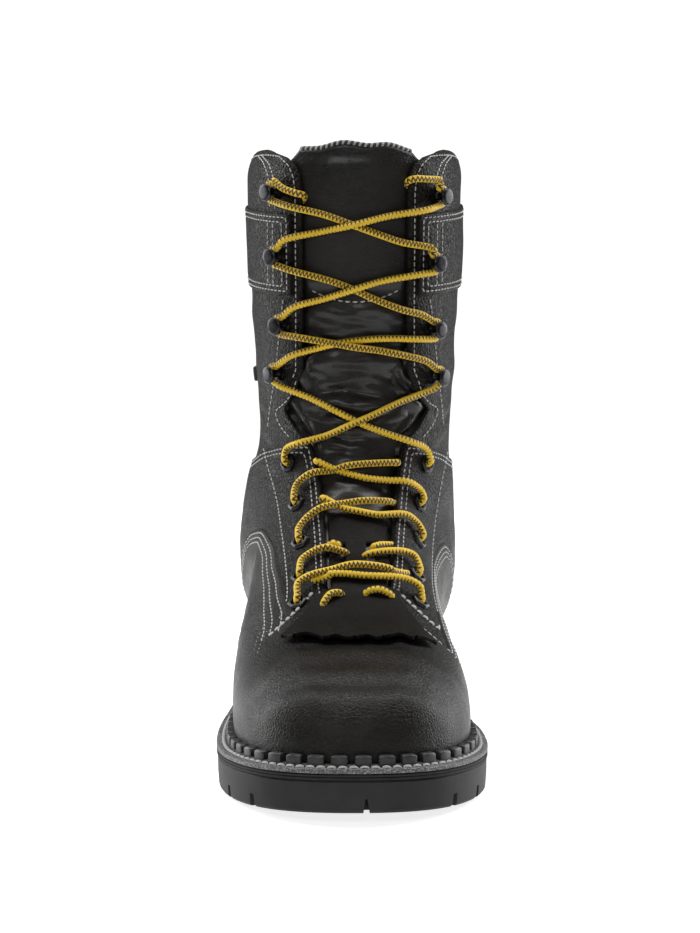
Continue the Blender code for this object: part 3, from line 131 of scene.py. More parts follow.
# Side views of the overlays: y as a share of the length, z as a share of the collar height.
VAMP_LATERAL = (
    (-0.215, 0.020), (-0.205, 0.235), (-0.222, 0.300), (-0.250, 0.330), (-0.300, 0.345), (-0.345, 0.345),
    (-0.383, 0.334), (-0.430, 0.310), (-0.500, 0.278), (-0.550, 0.256), (-0.602, 0.231), (-0.578, 0.252),
    (-0.548, 0.272), (-0.530, 0.330), (-1.100, 0.330), (-1.100, 0.020),
)
VAMP_MEDIAL = (
    (-0.215, 0.020), (-0.200, 0.220), (-0.212, 0.280), (-0.243, 0.309), (-0.290, 0.305), (-0.360, 0.282),
    (-0.430, 0.256), (-0.500, 0.230), (-0.582, 0.200), (-0.566, 0.240), (-0.546, 0.268), (-0.530, 0.330),
    (-1.100, 0.330), (-1.100, 0.020),
)
COUNTER_SIDE = (
    (0.200, 0.020), (0.200, 0.372), (0.075, 0.366), (0.020, 0.345), (-0.040, 0.300), (-0.090, 0.240),
    (-0.120, 0.180), (-0.130, 0.020),
)
QUARTER_TOP = ((-0.50, 0.505), (-0.34, 0.503), (-0.28, 0.490), (-0.16, 0.446), (-0.02, 0.425), (0.20, 0.425))

# Eyelets and hooks from the throat's foot up: heights, and places out from the middle on each side.
STUD_COLUMNS = ("left_z", "left_x", "right_z", "right_x")
EYELETS = (
    (0.266, 0.245, 0.260, 0.278), (0.299, 0.234, 0.292, 0.267), (0.345, 0.237, 0.337, 0.278),
    (0.398, 0.255, 0.391, 0.284), (0.460, 0.295, 0.455, 0.318),
)
HOOKS = (
    (0.613, 0.345, 0.607, 0.358), (0.700, 0.322, 0.691, 0.343), (0.820, 0.328, 0.808, 0.328),
    (0.930, 0.356, 0.921, 0.366),
)
KILTIE_SLOTS = ((-0.068, 0.338, 0.0052, 0.0090), (0.078, 0.338, 0.0052, 0.0090))


# The form: the last and its shaft, as in the model, on a much finer grid
def table_curve(table, column, at):
    xs = np.array([row[0] for row in table], float)
    ys = np.array([row[column] for row in table], float)
    slopes = np.gradient(ys, xs)
    at = np.clip(np.asarray(at, float), xs[0], xs[-1])
    i = np.clip(np.searchsorted(xs, at, side="right") - 1, 0, len(xs) - 2)
    step = xs[i + 1] - xs[i]
    t = (at - xs[i]) / step
    return (
        (2 * t**3 - 3 * t**2 + 1) * ys[i]
        + (t**3 - 2 * t**2 + t) * step * slopes[i]
        + (3 * t**2 - 2 * t**3) * ys[i + 1]
        + (t**3 - t**2) * step * slopes[i + 1]
    )


def smooth(t):
    t = np.clip(t, 0.0, 1.0)
    return t * t * (3 - 2 * t)


def station_of(y):
    return (HEEL_BACK - np.asarray(y, float)) / LENGTH


def y_of(station):
    return HEEL_BACK - np.asarray(station, float) * LENGTH


def end_round(t, power):
    return (1 - (1 - np.clip(t, 0, 1)) ** power) ** (1 / power)


def sole_outline(count=240):
    """Closed outline of the outsole, from the heel along the lateral side to the toe and back."""
    s = (1 - np.cos(np.linspace(0, math.pi, count))) / 2
    lateral = table_curve(OUTLINE, 1, s) * BALL_WIDTH
    medial = table_curve(OUTLINE, 2, s) * BALL_WIDTH
    middle, half = (medial - lateral) / 2, (medial + lateral) / 2
    half = half * end_round(s / HEEL_ROUND, OUTLINE_POWER) * end_round((1 - s) / TOE_ROUND, OUTLINE_POWER)
    lateral_side = np.column_stack([middle - half, y_of(s)])
    medial_side = np.column_stack([middle + half, y_of(s)])
    return np.vstack([lateral_side, medial_side[-2:0:-1]])


def inset(outline, margin):
    along = np.roll(outline, -1, axis=0) - np.roll(outline, 1, axis=0)
    along /= np.linalg.norm(along, axis=1)[:, None]
    inwards = np.column_stack([-along[:, 1], along[:, 0]])
    return outline + inwards * np.reshape(margin, (-1, 1))


def sides_of(outline):
    toe, heel = int(np.argmin(outline[:, 1])), int(np.argmax(outline[:, 1]))
    ring = np.roll(outline, -toe, axis=0)
    cut = (heel - toe) % len(outline)
    first, second = ring[: cut + 1], np.vstack([ring[cut:], ring[:1]])[::-1]
    if first[:, 0].mean() > second[:, 0].mean():
        first, second = second, first
    return first[:, ::-1], second[:, ::-1]


def half_spans(sides, y):
    lateral, medial = sides
    return np.interp(y, lateral[:, 0], lateral[:, 1]), np.interp(y, medial[:, 0], medial[:, 1])


def spring_z(s):
    return TOE_SPRING * np.clip((s - 0.78) / 0.22, 0, 1.2) ** 1.6


def seat_z(y):
    """Top of the welt, where the upper meets the sole."""
    s = station_of(y)
    forepart, heel = FOREPART + MIDSOLE + WELT, HEEL_RISE + MIDSOLE + WELT
    return forepart + (heel - forepart) * smooth((0.62 - s) / (0.62 - 0.272)) + spring_z(s)


def crest_z(y, toe_y):
    high = table_curve(CREST, 1, station_of(y)) * TOE_HEIGHT
    seat = seat_z(y)
    return seat + (high - seat) * end_round((np.asarray(y) - toe_y) / (CREST_ROUND * LENGTH), CREST_POWER)


def run_along(points):
    steps = np.concatenate([[0], np.cumsum(np.linalg.norm(np.diff(points, axis=0), axis=1))])
    return (lambda t: np.column_stack([np.interp(t, steps / steps[-1], column) for column in points.T])), steps[-1]


class Form:
    """Fine grid of points on the form, their normals, and their places round and up it."""

    rings = 192
    columns = 132

    def __init__(self):
        outline = sole_outline()
        margin = HEEL_MARGIN + (FORE_MARGIN - HEEL_MARGIN) * smooth((station_of(outline[:, 1]) - 0.30) / 0.2)
        self.sides = sides_of(inset(outline, margin))
        self.toe_y, self.heel_y = self.sides[0][0, 0], self.sides[0][-1, 0]
        self.front, self.back = self.front_profile(), self.back_profile()
        self.make_grid()

    def middle(self, y):
        lateral, medial = half_spans(self.sides, y)
        return (lateral + medial) / 2

    def level(self, x, y, z):
        lateral, medial = half_spans(self.sides, y)
        middle, half = (lateral + medial) / 2, np.maximum((medial - lateral) / 2, 1e-5)
        seat = seat_z(y)
        tall = np.maximum(crest_z(y, self.toe_y) - seat, 1e-4)
        s = station_of(y)
        power = table_curve(CREST, 2, s)
        up = np.minimum(np.maximum(z - seat, 0) / tall, 50.0)
        swell = np.sin(math.pi * np.clip(up, 0, 1) ** 1.15) * np.minimum(half / 0.025, 1) * BALL_WIDTH
        wider = np.where(x < middle, table_curve(CREST, 3, s), table_curve(CREST, 4, s)) * swell
        across = np.minimum(np.abs(x - middle) / (half + wider), 50.0)
        foot = ((across**power + up**power) ** (1 / power) - 1) * np.maximum(np.minimum(half, tall), 0.02)
        high = z / COLLAR_HEIGHT
        wide = table_curve(SHAFT, 1, high) * SHAFT_WIDTH / 2
        front, back = -table_curve(SHAFT, 2, high) * SHAFT_DEPTH, table_curve(SHAFT, 3, high) * SHAFT_DEPTH
        across = np.abs(x - table_curve(SHAFT, 4, high) * SHAFT_WIDTH) / wide
        along = np.abs(y - (front + back) / 2) / ((back - front) / 2)
        shaft = ((across**SHAFT_POWER + along**SHAFT_POWER) ** (1 / SHAFT_POWER) - 1) * wide
        share = np.clip(0.5 + 0.5 * (shaft - foot) / BLEND, 0, 1)
        return shaft + (foot - shaft) * share - BLEND * share * (1 - share)

    def reach(self, x, y, z, dx, dy, dz, far):
        near, far = np.zeros_like(y), np.full_like(y, far)
        for _ in range(30):
            mid = (near + far) / 2
            inside = self.level(x + mid * dx, y + mid * dy, z + mid * dz) < 0
            near, far = np.where(inside, mid, near), np.where(inside, far, mid)
        return near

    def front_profile(self, count=160):
        rows = np.array(FAN)
        t = np.linspace(0, len(rows) - 1, count)
        y = np.interp(t, range(len(rows)), rows[:, 0]) * LENGTH
        z = np.interp(t, range(len(rows)), rows[:, 1]) * TOE_HEIGHT
        angle = np.radians(np.interp(t, range(len(rows)), rows[:, 2]))
        z = z + (seat_z(self.toe_y) - z[0]) * np.clip(1 - t, 0, 1)
        dy, dz = -np.cos(angle), np.sin(angle)
        far = self.reach(self.middle(y), y, z, 0.0, dy, dz, 0.16)
        points = np.column_stack([y + far * dy, z + far * dz])
        points[0] = (self.toe_y, seat_z(self.toe_y))
        return points

    def back_profile(self, count=80):
        z = np.linspace(float(seat_z(self.heel_y)), FORM_TOP, count)
        y = np.full(count, -0.03)
        return np.column_stack([y + self.reach(self.middle(y), y, z, 0.0, 1.0, 0.0, 0.12), z])

    def make_grid(self):
        front_at, front_run = run_along(self.front)
        back_at, _ = run_along(self.back)
        steps = np.linspace(0, 1, self.rings + 1)
        shares = 0.6 * steps + 0.4 * (1 - np.cos(math.pi * steps)) / 2
        samples = (1 - np.cos(np.linspace(0, math.pi, 361))) / 2
        start, end = front_at(shares), back_at(shares)
        line = start[:, None] + (end - start)[:, None] * samples[None, :, None]
        y, z = line[..., 0], line[..., 1].copy()
        sag = seat_z(y) - np.interp(y, line[0, :, 0], line[0, :, 1])
        z += sag * np.maximum(0.0, 1 - shares[:, None] / 0.45) ** 2
        x = self.middle(y)
        halves = []
        for sign in (-1, 1):
            out = self.reach(x, y, z, float(sign), 0.0, 0.0, 0.09)
            out[:, [0, -1]] = 0
            halves.append(np.stack([x + sign * out, y, z], axis=2))
        points, us = [], []
        for i, share in enumerate(shares):
            wanted = (np.arange(self.columns + 1) / self.columns) ** (1.30 - 0.30 * share)
            row, row_u = [], []
            for half in (halves[0][i], halves[1][i]):
                run = np.concatenate([[0], np.cumsum(np.linalg.norm(np.diff(half, axis=0), axis=1))])
                want = wanted * run[-1]
                row.append(np.column_stack([np.interp(want, run, column) for column in half.T]))
                row_u.append(want)
            points.append(np.vstack([row[0], row[1][-2:0:-1]]))
            us.append(np.concatenate([-row_u[0], row_u[1][-2:0:-1]]))
        self.points, self.u = np.array(points), np.array(us)
        self.v = np.repeat(shares[:, None] * front_run, self.points.shape[1], axis=1)
        self.find_normals()

    def find_normals(self):
        around = np.roll(self.points, -1, axis=1) - np.roll(self.points, 1, axis=1)
        normals = np.cross(np.gradient(self.points, axis=0), around)
        normals[:3, :, 2] *= np.array([0.0, 0.4, 0.8])[:, None]
        self.normals = normals / np.linalg.norm(normals, axis=2)[:, :, None]

    def relieve(self, relief):
        """Moves the surface along its normals by a function of its points."""
        high = relief(self.points.reshape(-1, 3), self.u.ravel()).reshape(self.u.shape)
        self.points = self.points + self.normals * high[:, :, None]
        self.find_normals()

    def at(self, x, z):
        """Point and normal of the front of the surface at an x and a height."""
        n = self.columns // 2 + 8
        front = list(range(n, 0, -1)) + [0] + list(range(-1, -n - 1, -1))
        both = np.concatenate([self.points[:, front], self.normals[:, front]], axis=2)
        found = np.array([[np.interp(x, ring[:, 0], ring[:, k]) for k in range(6)] for ring in both])
        keep = found[:, 2] > z - 0.03
        found = found[keep & (found[:, 2] < z + 0.03)]
        row = np.array([np.interp(z, found[:, 2], found[:, k]) for k in range(6)])
        return Vector(row[:3]), Vector(row[3:]).normalized()


# Panels: triangles over the form, cut along smooth lines and given a thickness with rounded edges
def split(a, t, column, level):
    """Cuts triangles where a column of the point table passes a level. Returns the points, triangles and cut pieces."""
    d = a[:, column] - level
    d = np.where(np.abs(d) < 1e-9, 1e-9, d)
    side = d[t] > 0
    mixed = side.any(1) & ~side.all(1)
    rest, cut, s = t[~mixed], t[mixed], side[mixed]
    if not len(cut):
        return a, t, np.zeros((0, 2), int)
    lone = np.where(s.sum(1) == 1, np.argmax(s, 1), np.argmin(s, 1))
    cut = np.take_along_axis(cut, (lone[:, None] + np.arange(3)) % 3, 1)
    keys = np.sort(np.vstack([cut[:, [0, 1]], cut[:, [0, 2]]]), axis=1)
    unique, inverse = np.unique(keys, axis=0, return_inverse=True)
    inverse = inverse.ravel()
    low, high = d[unique[:, 0]], d[unique[:, 1]]
    made = a[unique[:, 0]] + (a[unique[:, 1]] - a[unique[:, 0]]) * (low / (low - high))[:, None]
    ab, ac = len(a) + inverse[: len(cut)], len(a) + inverse[len(cut) :]
    first = np.column_stack([cut[:, 0], ab, ac])
    second = np.column_stack([ab, cut[:, 1], cut[:, 2]])
    third = np.column_stack([ab, cut[:, 2], ac])
    return np.vstack([a, made]), np.vstack([rest, first, second, third]), np.column_stack([ab, ac])


def trim(a, t, column, level=0.0):
    return t[a[t, column].mean(1) > level]


def pack_points(a, t):
    """Drops the points that no triangle uses."""
    used, index = np.unique(t, return_inverse=True)
    return a[used], index.reshape(t.shape)


def chains(pairs):
    """Cut pieces joined end to end into lines of point numbers."""
    near = {}
    for i, j in pairs:
        near.setdefault(int(i), []).append(int(j))
        near.setdefault(int(j), []).append(int(i))
    left, lines = set(near), []
    starts = [k for k in near if len(near[k]) == 1] + list(near)
    for start in starts:
        if start not in left:
            continue
        line = [start]
        left.discard(start)
        while True:
            step = [k for k in near[line[-1]] if k in left]
            if not step:
                break
            left.discard(step[0])
            line.append(step[0])
        if len(line) > 2 and line[0] in near[line[-1]]:
            line.append(line[0])
        lines.append(line)
    return lines


def skin_of(form, step=1):
    """Point table (x y z, normal, u, v) and triangles of the form's grid."""
    points, normals, u, v = (part[::step, ::step] for part in (form.points, form.normals, form.u, form.v))
    rows, around = u.shape
    a = np.column_stack([points.reshape(-1, 3), normals.reshape(-1, 3), u.ravel(), v.ravel()])
    i = np.arange(rows - 1)[:, None] * around + np.arange(around)
    k = np.arange(rows - 1)[:, None] * around + (np.arange(around) + 1) % around
    low, low_next, high, high_next = i.ravel(), k.ravel(), i.ravel() + around, k.ravel() + around
    t = np.vstack([np.column_stack([low, low_next, high_next]), np.column_stack([low, high_next, high])])
    corners = a[t, :3]
    face = np.cross(corners[:, 1] - corners[:, 0], corners[:, 2] - corners[:, 0])
    t = t if (face * a[t[:, 0], 3:6]).sum() > 0 else t[:, ::-1]
    return a, t


def refine(a, t):
    """Every triangle cut into four."""
    edges = np.sort(np.vstack([t[:, [0, 1]], t[:, [1, 2]], t[:, [2, 0]]]), axis=1)
    unique, inverse = np.unique(edges, axis=0, return_inverse=True)
    inverse = inverse.ravel()
    made = a[unique].mean(1)
    made[:, 3:6] /= np.linalg.norm(made[:, 3:6], axis=1)[:, None]
    n = len(t)
    ab, bc, ca = (len(a) + inverse[i * n : (i + 1) * n] for i in range(3))
    p, q, r = t.T
    faces = [(p, ab, ca), (ab, q, bc), (ca, bc, r), (ab, bc, ca)]
    return np.vstack([a, made]), np.vstack([np.column_stack(face) for face in faces])


def make_mesh(name, points, faces, finish, loop_uv=None, sharp=40):
    mesh = bpy.data.meshes.new(name)
    mesh.from_pydata(np.asarray(points).tolist(), [], np.asarray(faces).tolist() if not isinstance(faces, list) else faces)
    mesh.update()
    if loop_uv is not None:
        layer = mesh.uv_layers.new(name="UVMap")
        layer.data.foreach_set("uv", np.asarray(loop_uv, float).ravel())
    mesh.shade_smooth()
    if sharp:
        mesh.set_sharp_from_angle(angle=math.radians(sharp))
    mesh.materials.append(finish)
    made = bpy.data.objects.new(name, mesh)
    bpy.context.scene.collection.objects.link(made)
    return made


def place(made, slot, *nodes):
    """Rides on the one body and stands for its CAD nodes; its slot is not used."""
    if nodes:
        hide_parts(*nodes)
    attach(made, "root")
    return made


def rounded(d, edge, rim=0.35):
    """Share of a panel's thickness at a distance from its edge."""
    t = np.clip(d / edge, 0, 1)
    return rim + (1 - rim) * np.sqrt(1 - (1 - t) ** 2)


def panel(name, finish, a, t, fields, low, thick, edge=0.0010, grooves=(), closed=True, lift=None):
    """Leather panel over the form: where every field is positive, from a base height up by its thickness.

    Grooves are (distance in from the edge, depth) lines pressed into the top, as under a row of stitches.
    """
    values = np.column_stack([field(a) for field in fields])
    d = values.min(1)
    near = d[t].max(1) > -0.004
    a = np.column_stack([a, d])
    a, t = pack_points(a, t[near])
    column = a.shape[1] - 1
    a, t, _ = split(a, t, column, 0.0)
    t = trim(a, t, column)
    for level in (edge * 0.3, edge):
        a, t, _ = split(a, t, column, level)
    for centre, _ in grooves:
        for level in (centre - 0.0009, centre, centre + 0.0009):
            a, t, _ = split(a, t, column, level)
    a, t = pack_points(a, t)
    d = a[:, column]
    base = low(a) if callable(low) else np.full(len(a), low)
    high = base + thick * rounded(d, edge)
    for centre, depth in grooves:
        high -= depth * np.clip(1 - np.abs(d - centre) / 0.0009, 0, 1)
    if lift is not None:
        high = high + lift(a)
    top, bottom = a[:, :3] + a[:, 3:6] * high[:, None], a[:, :3] + a[:, 3:6] * (base - 0.0002)[:, None]
    n = len(a)
    edges = np.vstack([t[:, [0, 1]], t[:, [1, 2]], t[:, [2, 0]]])
    key = np.sort(edges, axis=1)
    _, index, count = np.unique(key, axis=0, return_index=True, return_counts=True)
    rim = edges[index[count == 1]]
    walls = np.vstack([np.column_stack([rim[:, 1], rim[:, 0], rim[:, 0] + n]), np.column_stack([rim[:, 1], rim[:, 0] + n, rim[:, 1] + n])])
    faces = np.vstack([t, t[:, ::-1] + n, walls]) if closed else np.vstack([t, walls])
    return make_mesh(name, np.vstack([top, bottom]), faces, finish, sharp=50)


def seam_lines(a, t, field, level, mask=None):
    """Lines on the form where a field is at a level, as arrays of point and normal."""
    values = field(a)
    near = (values[t].max(1) > level - 0.003) & (values[t].min(1) < level + 0.003)
    a, t = pack_points(np.column_stack([a, values]), t[near])
    a, t, pairs = split(a, t, a.shape[1] - 1, level)
    if mask is not None:
        keep = mask(a) > 0
        pairs = pairs[keep[pairs].all(1)]
    return [a[line][:, :6] for line in chains(pairs) if len(line) > 3]


def resample(line, pitch):
    run = np.concatenate([[0], np.cumsum(np.linalg.norm(np.diff(line[:, :3], axis=0), axis=1))])
    keep = np.concatenate([[True], np.diff(run) > 1e-7])
    line, run = line[keep], run[keep]
    count = max(2, int(round(run[-1] / pitch)))
    at = (np.arange(count) + 0.5) * run[-1] / count
    points = np.column_stack([np.interp(at, run, column) for column in line.T])
    ahead = np.column_stack([np.interp(at + pitch * 0.3, run, column) for column in line[:, :3].T])
    behind = np.column_stack([np.interp(at - pitch * 0.3, run, column) for column in line[:, :3].T])
    way = ahead - behind
    return points, way / np.maximum(np.linalg.norm(way, axis=1), 1e-9)[:, None], run[-1] / count


STITCH = []


def stitch(lines, height, pitch=0.0029, wide=0.00033, fill=0.72, into=None):
    """Adds a row of short raised stitches along lines on the form. Height may be a function of the points."""
    into = STITCH if into is None else into
    for line in lines:
        points, way, step = resample(line, pitch)
        high = height(points) if callable(height) else height
        normals = points[:, 3:6] / np.linalg.norm(points[:, 3:6], axis=1)[:, None]
        centre = points[:, :3] + normals * np.reshape(high, (-1, 1))
        side = np.cross(normals, way)
        into.append((centre, way, side, normals, step * fill / 2, wide))


def build_stitches(name, rows, finish, slot):
    """One mesh of all the stitches: each is a small bead, flat underneath."""
    rings = ((-1.0, 0.30, -0.5), (-0.62, 0.85, 0.55), (0.0, 1.0, 1.0), (0.62, 0.85, 0.55), (1.0, 0.30, -0.5))
    around = [(math.cos(k), math.sin(k)) for k in np.linspace(0, math.pi, 4)]
    points, faces, total = [], [], 0
    for centre, way, side, normals, half, wide in rows:
        for along, width, rise in rings:
            for c, s in around:
                offset = way * (along * half) + side * (c * width * wide) + normals * ((s * 0.9 + rise * 0.55 - 0.6) * wide)
                points.append(centre + offset)
        count = len(centre)
        width_n = len(around)
        index = total + np.arange(len(rings) * width_n).reshape(len(rings), width_n) * count
        for r in range(len(rings) - 1):
            for k in range(width_n - 1):
                quad = [index[r, k], index[r, k + 1], index[r + 1, k + 1], index[r + 1, k]]
                faces.append(np.array(quad)[None, :] + np.arange(count)[:, None])
        total += len(rings) * width_n * count
    made = make_mesh(name, np.vstack(points), np.vstack(faces), finish, sharp=0)
    return place(made, slot)


# Materials
class Nodes:
    """Short names for building a node material."""

    def __init__(self, name, colour, roughness, metallic=0.0, coat=0.0, coat_roughness=0.3, sheen=0.0, specular=0.5):
        self.material = bpy.data.materials.new(name)
        self.material.use_nodes = True
        self.tree = self.material.node_tree
        self.shader = self.tree.nodes["Principled BSDF"]
        self.shader.inputs["Base Color"].default_value = (*colour, 1.0)
        self.shader.inputs["Roughness"].default_value = roughness
        self.shader.inputs["Metallic"].default_value = metallic
        self.shader.inputs["Coat Weight"].default_value = coat
        self.shader.inputs["Coat Roughness"].default_value = coat_roughness
        self.shader.inputs["Sheen Weight"].default_value = sheen
        self.shader.inputs["Specular IOR Level"].default_value = specular
        self.coords = self.tree.nodes.new("ShaderNodeTexCoord")

    def node(self, kind, **inputs):
        made = self.tree.nodes.new(kind)
        for key, value in inputs.items():
            made.inputs[key.replace("_", " ")].default_value = value
        return made

    def link(self, a, out, b, into):
        self.tree.links.new(a.outputs[out], b.inputs[into])

    def noise(self, scale, detail=3.0, roughness=0.5, source="Object", stretch=None):
        made = self.node("ShaderNodeTexNoise", Scale=scale, Detail=detail, Roughness=roughness)
        self.link(self.place(source, stretch), 0, made, "Vector")
        return made

    def voronoi(self, scale, feature="F1", source="Object", stretch=None, smooth_share=None):
        made = self.node("ShaderNodeTexVoronoi", Scale=scale)
        made.feature = feature
        if smooth_share is not None:
            made.inputs["Smoothness"].default_value = smooth_share
        self.link(self.place(source, stretch), 0, made, "Vector")
        return made

    def place(self, source="Object", stretch=None):
        mapping = self.tree.nodes.new("ShaderNodeMapping")
        self.tree.links.new(self.coords.outputs[source], mapping.inputs["Vector"])
        if stretch is not None:
            mapping.inputs["Scale"].default_value = stretch
        return mapping

    def ramp(self, source, out, stops):
        made = self.tree.nodes.new("ShaderNodeValToRGB")
        while len(made.color_ramp.elements) < len(stops):
            made.color_ramp.elements.new(0.5)
        for element, (position, value) in zip(made.color_ramp.elements, stops):
            element.position = position
            element.color = (*value, 1.0) if isinstance(value, tuple) else (value, value, value, 1.0)
        self.link(source, out, made, "Fac")
        return made

    def math(self, operation, a, b=None):
        made = self.tree.nodes.new("ShaderNodeMath")
        made.operation = operation
        for i, value in enumerate((a, b)):
            if value is None:
                continue
            if isinstance(value, (int, float)):
                made.inputs[i].default_value = value
            else:
                self.tree.links.new(value[0].outputs[value[1]], made.inputs[i])
        return made

    def bump(self, layers):
        """Bumps one on another: each layer is (node, output, strength, distance in metres)."""
        last = None
        for source, out, strength, distance in layers:
            made = self.node("ShaderNodeBump", Strength=strength, Distance=distance)
            self.link(source, out, made, "Height")
            if last is not None:
                self.link(last, "Normal", made, "Normal")
            last = made
        self.link(last, "Normal", self.shader, "Normal")
        return last

    def colour_from(self, node, out="Color"):
        self.link(node, out, self.shader, "Base Color")

    def roughness_from(self, node, out="Color"):
        self.link(node, out, self.shader, "Roughness")


def leather(name, dark, light, rough, grain, grain_depth, pebble, pebble_depth, coat=0.25, coat_roughness=0.35, specular=0.20):
    """Dyed leather: fine pores, larger pebbles, tone that varies slowly and a thin finish."""
    made = Nodes(name, light, rough, coat=coat, coat_roughness=coat_roughness, specular=specular)
    cloud = made.noise(38.0, 4.0, 0.6)
    made.colour_from(made.ramp(cloud, "Fac", ((0.34, dark), (0.66, light))))
    shine = made.noise(95.0, 4.0, 0.65)
    made.roughness_from(made.ramp(shine, "Fac", ((0.30, rough - 0.07), (0.70, rough + 0.09))))
    pores = made.voronoi(grain, "SMOOTH_F1", smooth_share=0.35)
    pebbles = made.voronoi(pebble, "DISTANCE_TO_EDGE")
    edge = made.ramp(pebbles, "Distance", ((0.0, 0.0), (0.18, 1.0)))
    wrinkle = made.noise(620.0, 3.0, 0.6)
    made.bump(
        [
            (edge, "Color", 1.0, pebble_depth),
            (pores, "Distance", 1.0, grain_depth),
            (wrinkle, "Fac", 0.6, grain_depth * 0.6),
        ]
    )
    return made.material


def make_materials():
    m = {}
    m["vamp"] = leather("smooth_leather", (0.0050, 0.0044, 0.0038), (0.0090, 0.0080, 0.0070), 0.40, 1250.0, 0.00012, 620.0, 0.00010, coat=0.03, coat_roughness=0.30, specular=0.17)
    m["shaft"] = leather("tumbled_leather", (0.0050, 0.0044, 0.0037), (0.0090, 0.0080, 0.0070), 0.40, 1300.0, 0.00014, 480.0, 0.00030, coat=0.0, specular=0.14)
    m["quarter"] = leather("quarter_leather", (0.0048, 0.0042, 0.0036), (0.0085, 0.0076, 0.0066), 0.41, 1300.0, 0.00014, 540.0, 0.00026, coat=0.0, specular=0.14)
    m["tongue"] = leather("soft_leather", (0.0090, 0.0080, 0.0074), (0.0150, 0.0136, 0.0128), 0.34, 1400.0, 0.00009, 700.0, 0.00008, coat=0.35, coat_roughness=0.24)
    m["kiltie"] = leather("kiltie_leather", (0.0040, 0.0034, 0.0028), (0.0065, 0.0056, 0.0048), 0.50, 1300.0, 0.00009, 600.0, 0.00007, coat=0.0, specular=0.08)
    made = Nodes("lining_leather", (0.020, 0.019, 0.018), 0.70)
    made.colour_from(made.ramp(made.noise(60.0, 4.0), "Fac", ((0.3, (0.014, 0.013, 0.012)), (0.7, (0.028, 0.026, 0.025)))))
    made.bump([(made.noise(900.0, 3.0), "Fac", 0.8, 0.0002)])
    m["lining"] = made.material
    made = Nodes("footbed_cloth", (0.030, 0.030, 0.032), 0.9, sheen=0.2)
    made.colour_from(made.ramp(made.noise(1500.0, 2.0), "Fac", ((0.3, (0.018, 0.018, 0.020)), (0.7, (0.050, 0.050, 0.052)))))
    made.bump([(made.voronoi(1800.0, "F1"), "Distance", 1.0, 0.0003)])
    m["footbed"] = made.material
    made = Nodes("outsole_rubber", (0.0080, 0.0080, 0.0084), 0.58, specular=0.25)
    made.colour_from(made.ramp(made.noise(70.0, 5.0), "Fac", ((0.3, (0.0075, 0.0075, 0.0079)), (0.7, (0.0135, 0.0135, 0.0140)))))
    made.bump([(made.noise(1400.0, 4.0), "Fac", 0.6, 0.00016), (made.noise(160.0, 2.0), "Fac", 0.3, 0.0002)])
    m["rubber"] = made.material
    made = Nodes("midsole_rubber", (0.012, 0.012, 0.013), 0.66, specular=0.25)
    made.colour_from(made.ramp(made.noise(240.0, 5.0), "Fac", ((0.3, (0.006, 0.006, 0.0063)), (0.7, (0.013, 0.013, 0.0135)))))
    made.bump([(made.noise(1200.0, 3.0), "Fac", 0.7, 0.0002)])
    m["midsole"] = made.material
    made = Nodes("welt_leather", (0.20, 0.20, 0.205), 0.62)
    speck = made.noise(1350.0, 5.0, 0.75)
    made.colour_from(made.ramp(speck, "Fac", ((0.40, (0.020, 0.020, 0.021)), (0.50, (0.075, 0.075, 0.078)), (0.62, (0.30, 0.30, 0.31)))))
    made.bump([(speck, "Fac", 1.0, 0.0003)])
    m["welt"] = made.material
    made = Nodes("rib_leather", (0.012, 0.012, 0.0125), 0.50, coat=0.1)
    made.colour_from(made.ramp(made.noise(300.0, 4.0), "Fac", ((0.3, (0.009, 0.009, 0.0095)), (0.7, (0.024, 0.024, 0.025)))))
    made.bump([(made.noise(1500.0, 3.0), "Fac", 0.7, 0.0002)])
    m["rib"] = made.material
    made = Nodes("gunmetal", (0.060, 0.062, 0.068), 0.32, metallic=1.0)
    made.colour_from(made.ramp(made.noise(260.0, 4.0), "Fac", ((0.3, (0.022, 0.022, 0.024)), (0.7, (0.050, 0.051, 0.055)))))
    made.roughness_from(made.ramp(made.noise(900.0, 3.0), "Fac", ((0.3, 0.24), (0.7, 0.42))))
    made.bump([(made.noise(2200.0, 2.0), "Fac", 0.3, 0.00005)])
    m["metal"] = made.material
    for name, tone in (("white_thread", 0.50), ("grey_thread", 0.42)):
        made = Nodes(name, (tone, tone * 0.99, tone * 0.96), 0.75, sheen=0.2)
        fibre = made.noise(2600.0, 3.0, 0.6)
        low = tuple(c * tone for c in (0.62, 0.61, 0.59))
        made.colour_from(made.ramp(fibre, "Fac", ((0.32, low), (0.62, (tone, tone * 0.99, tone * 0.96)))))
        made.bump([(fibre, "Fac", 0.8, 0.0001)])
        m[name] = made.material
    m["lace"] = lace_material()
    m["rope"] = rope_material()
    return m


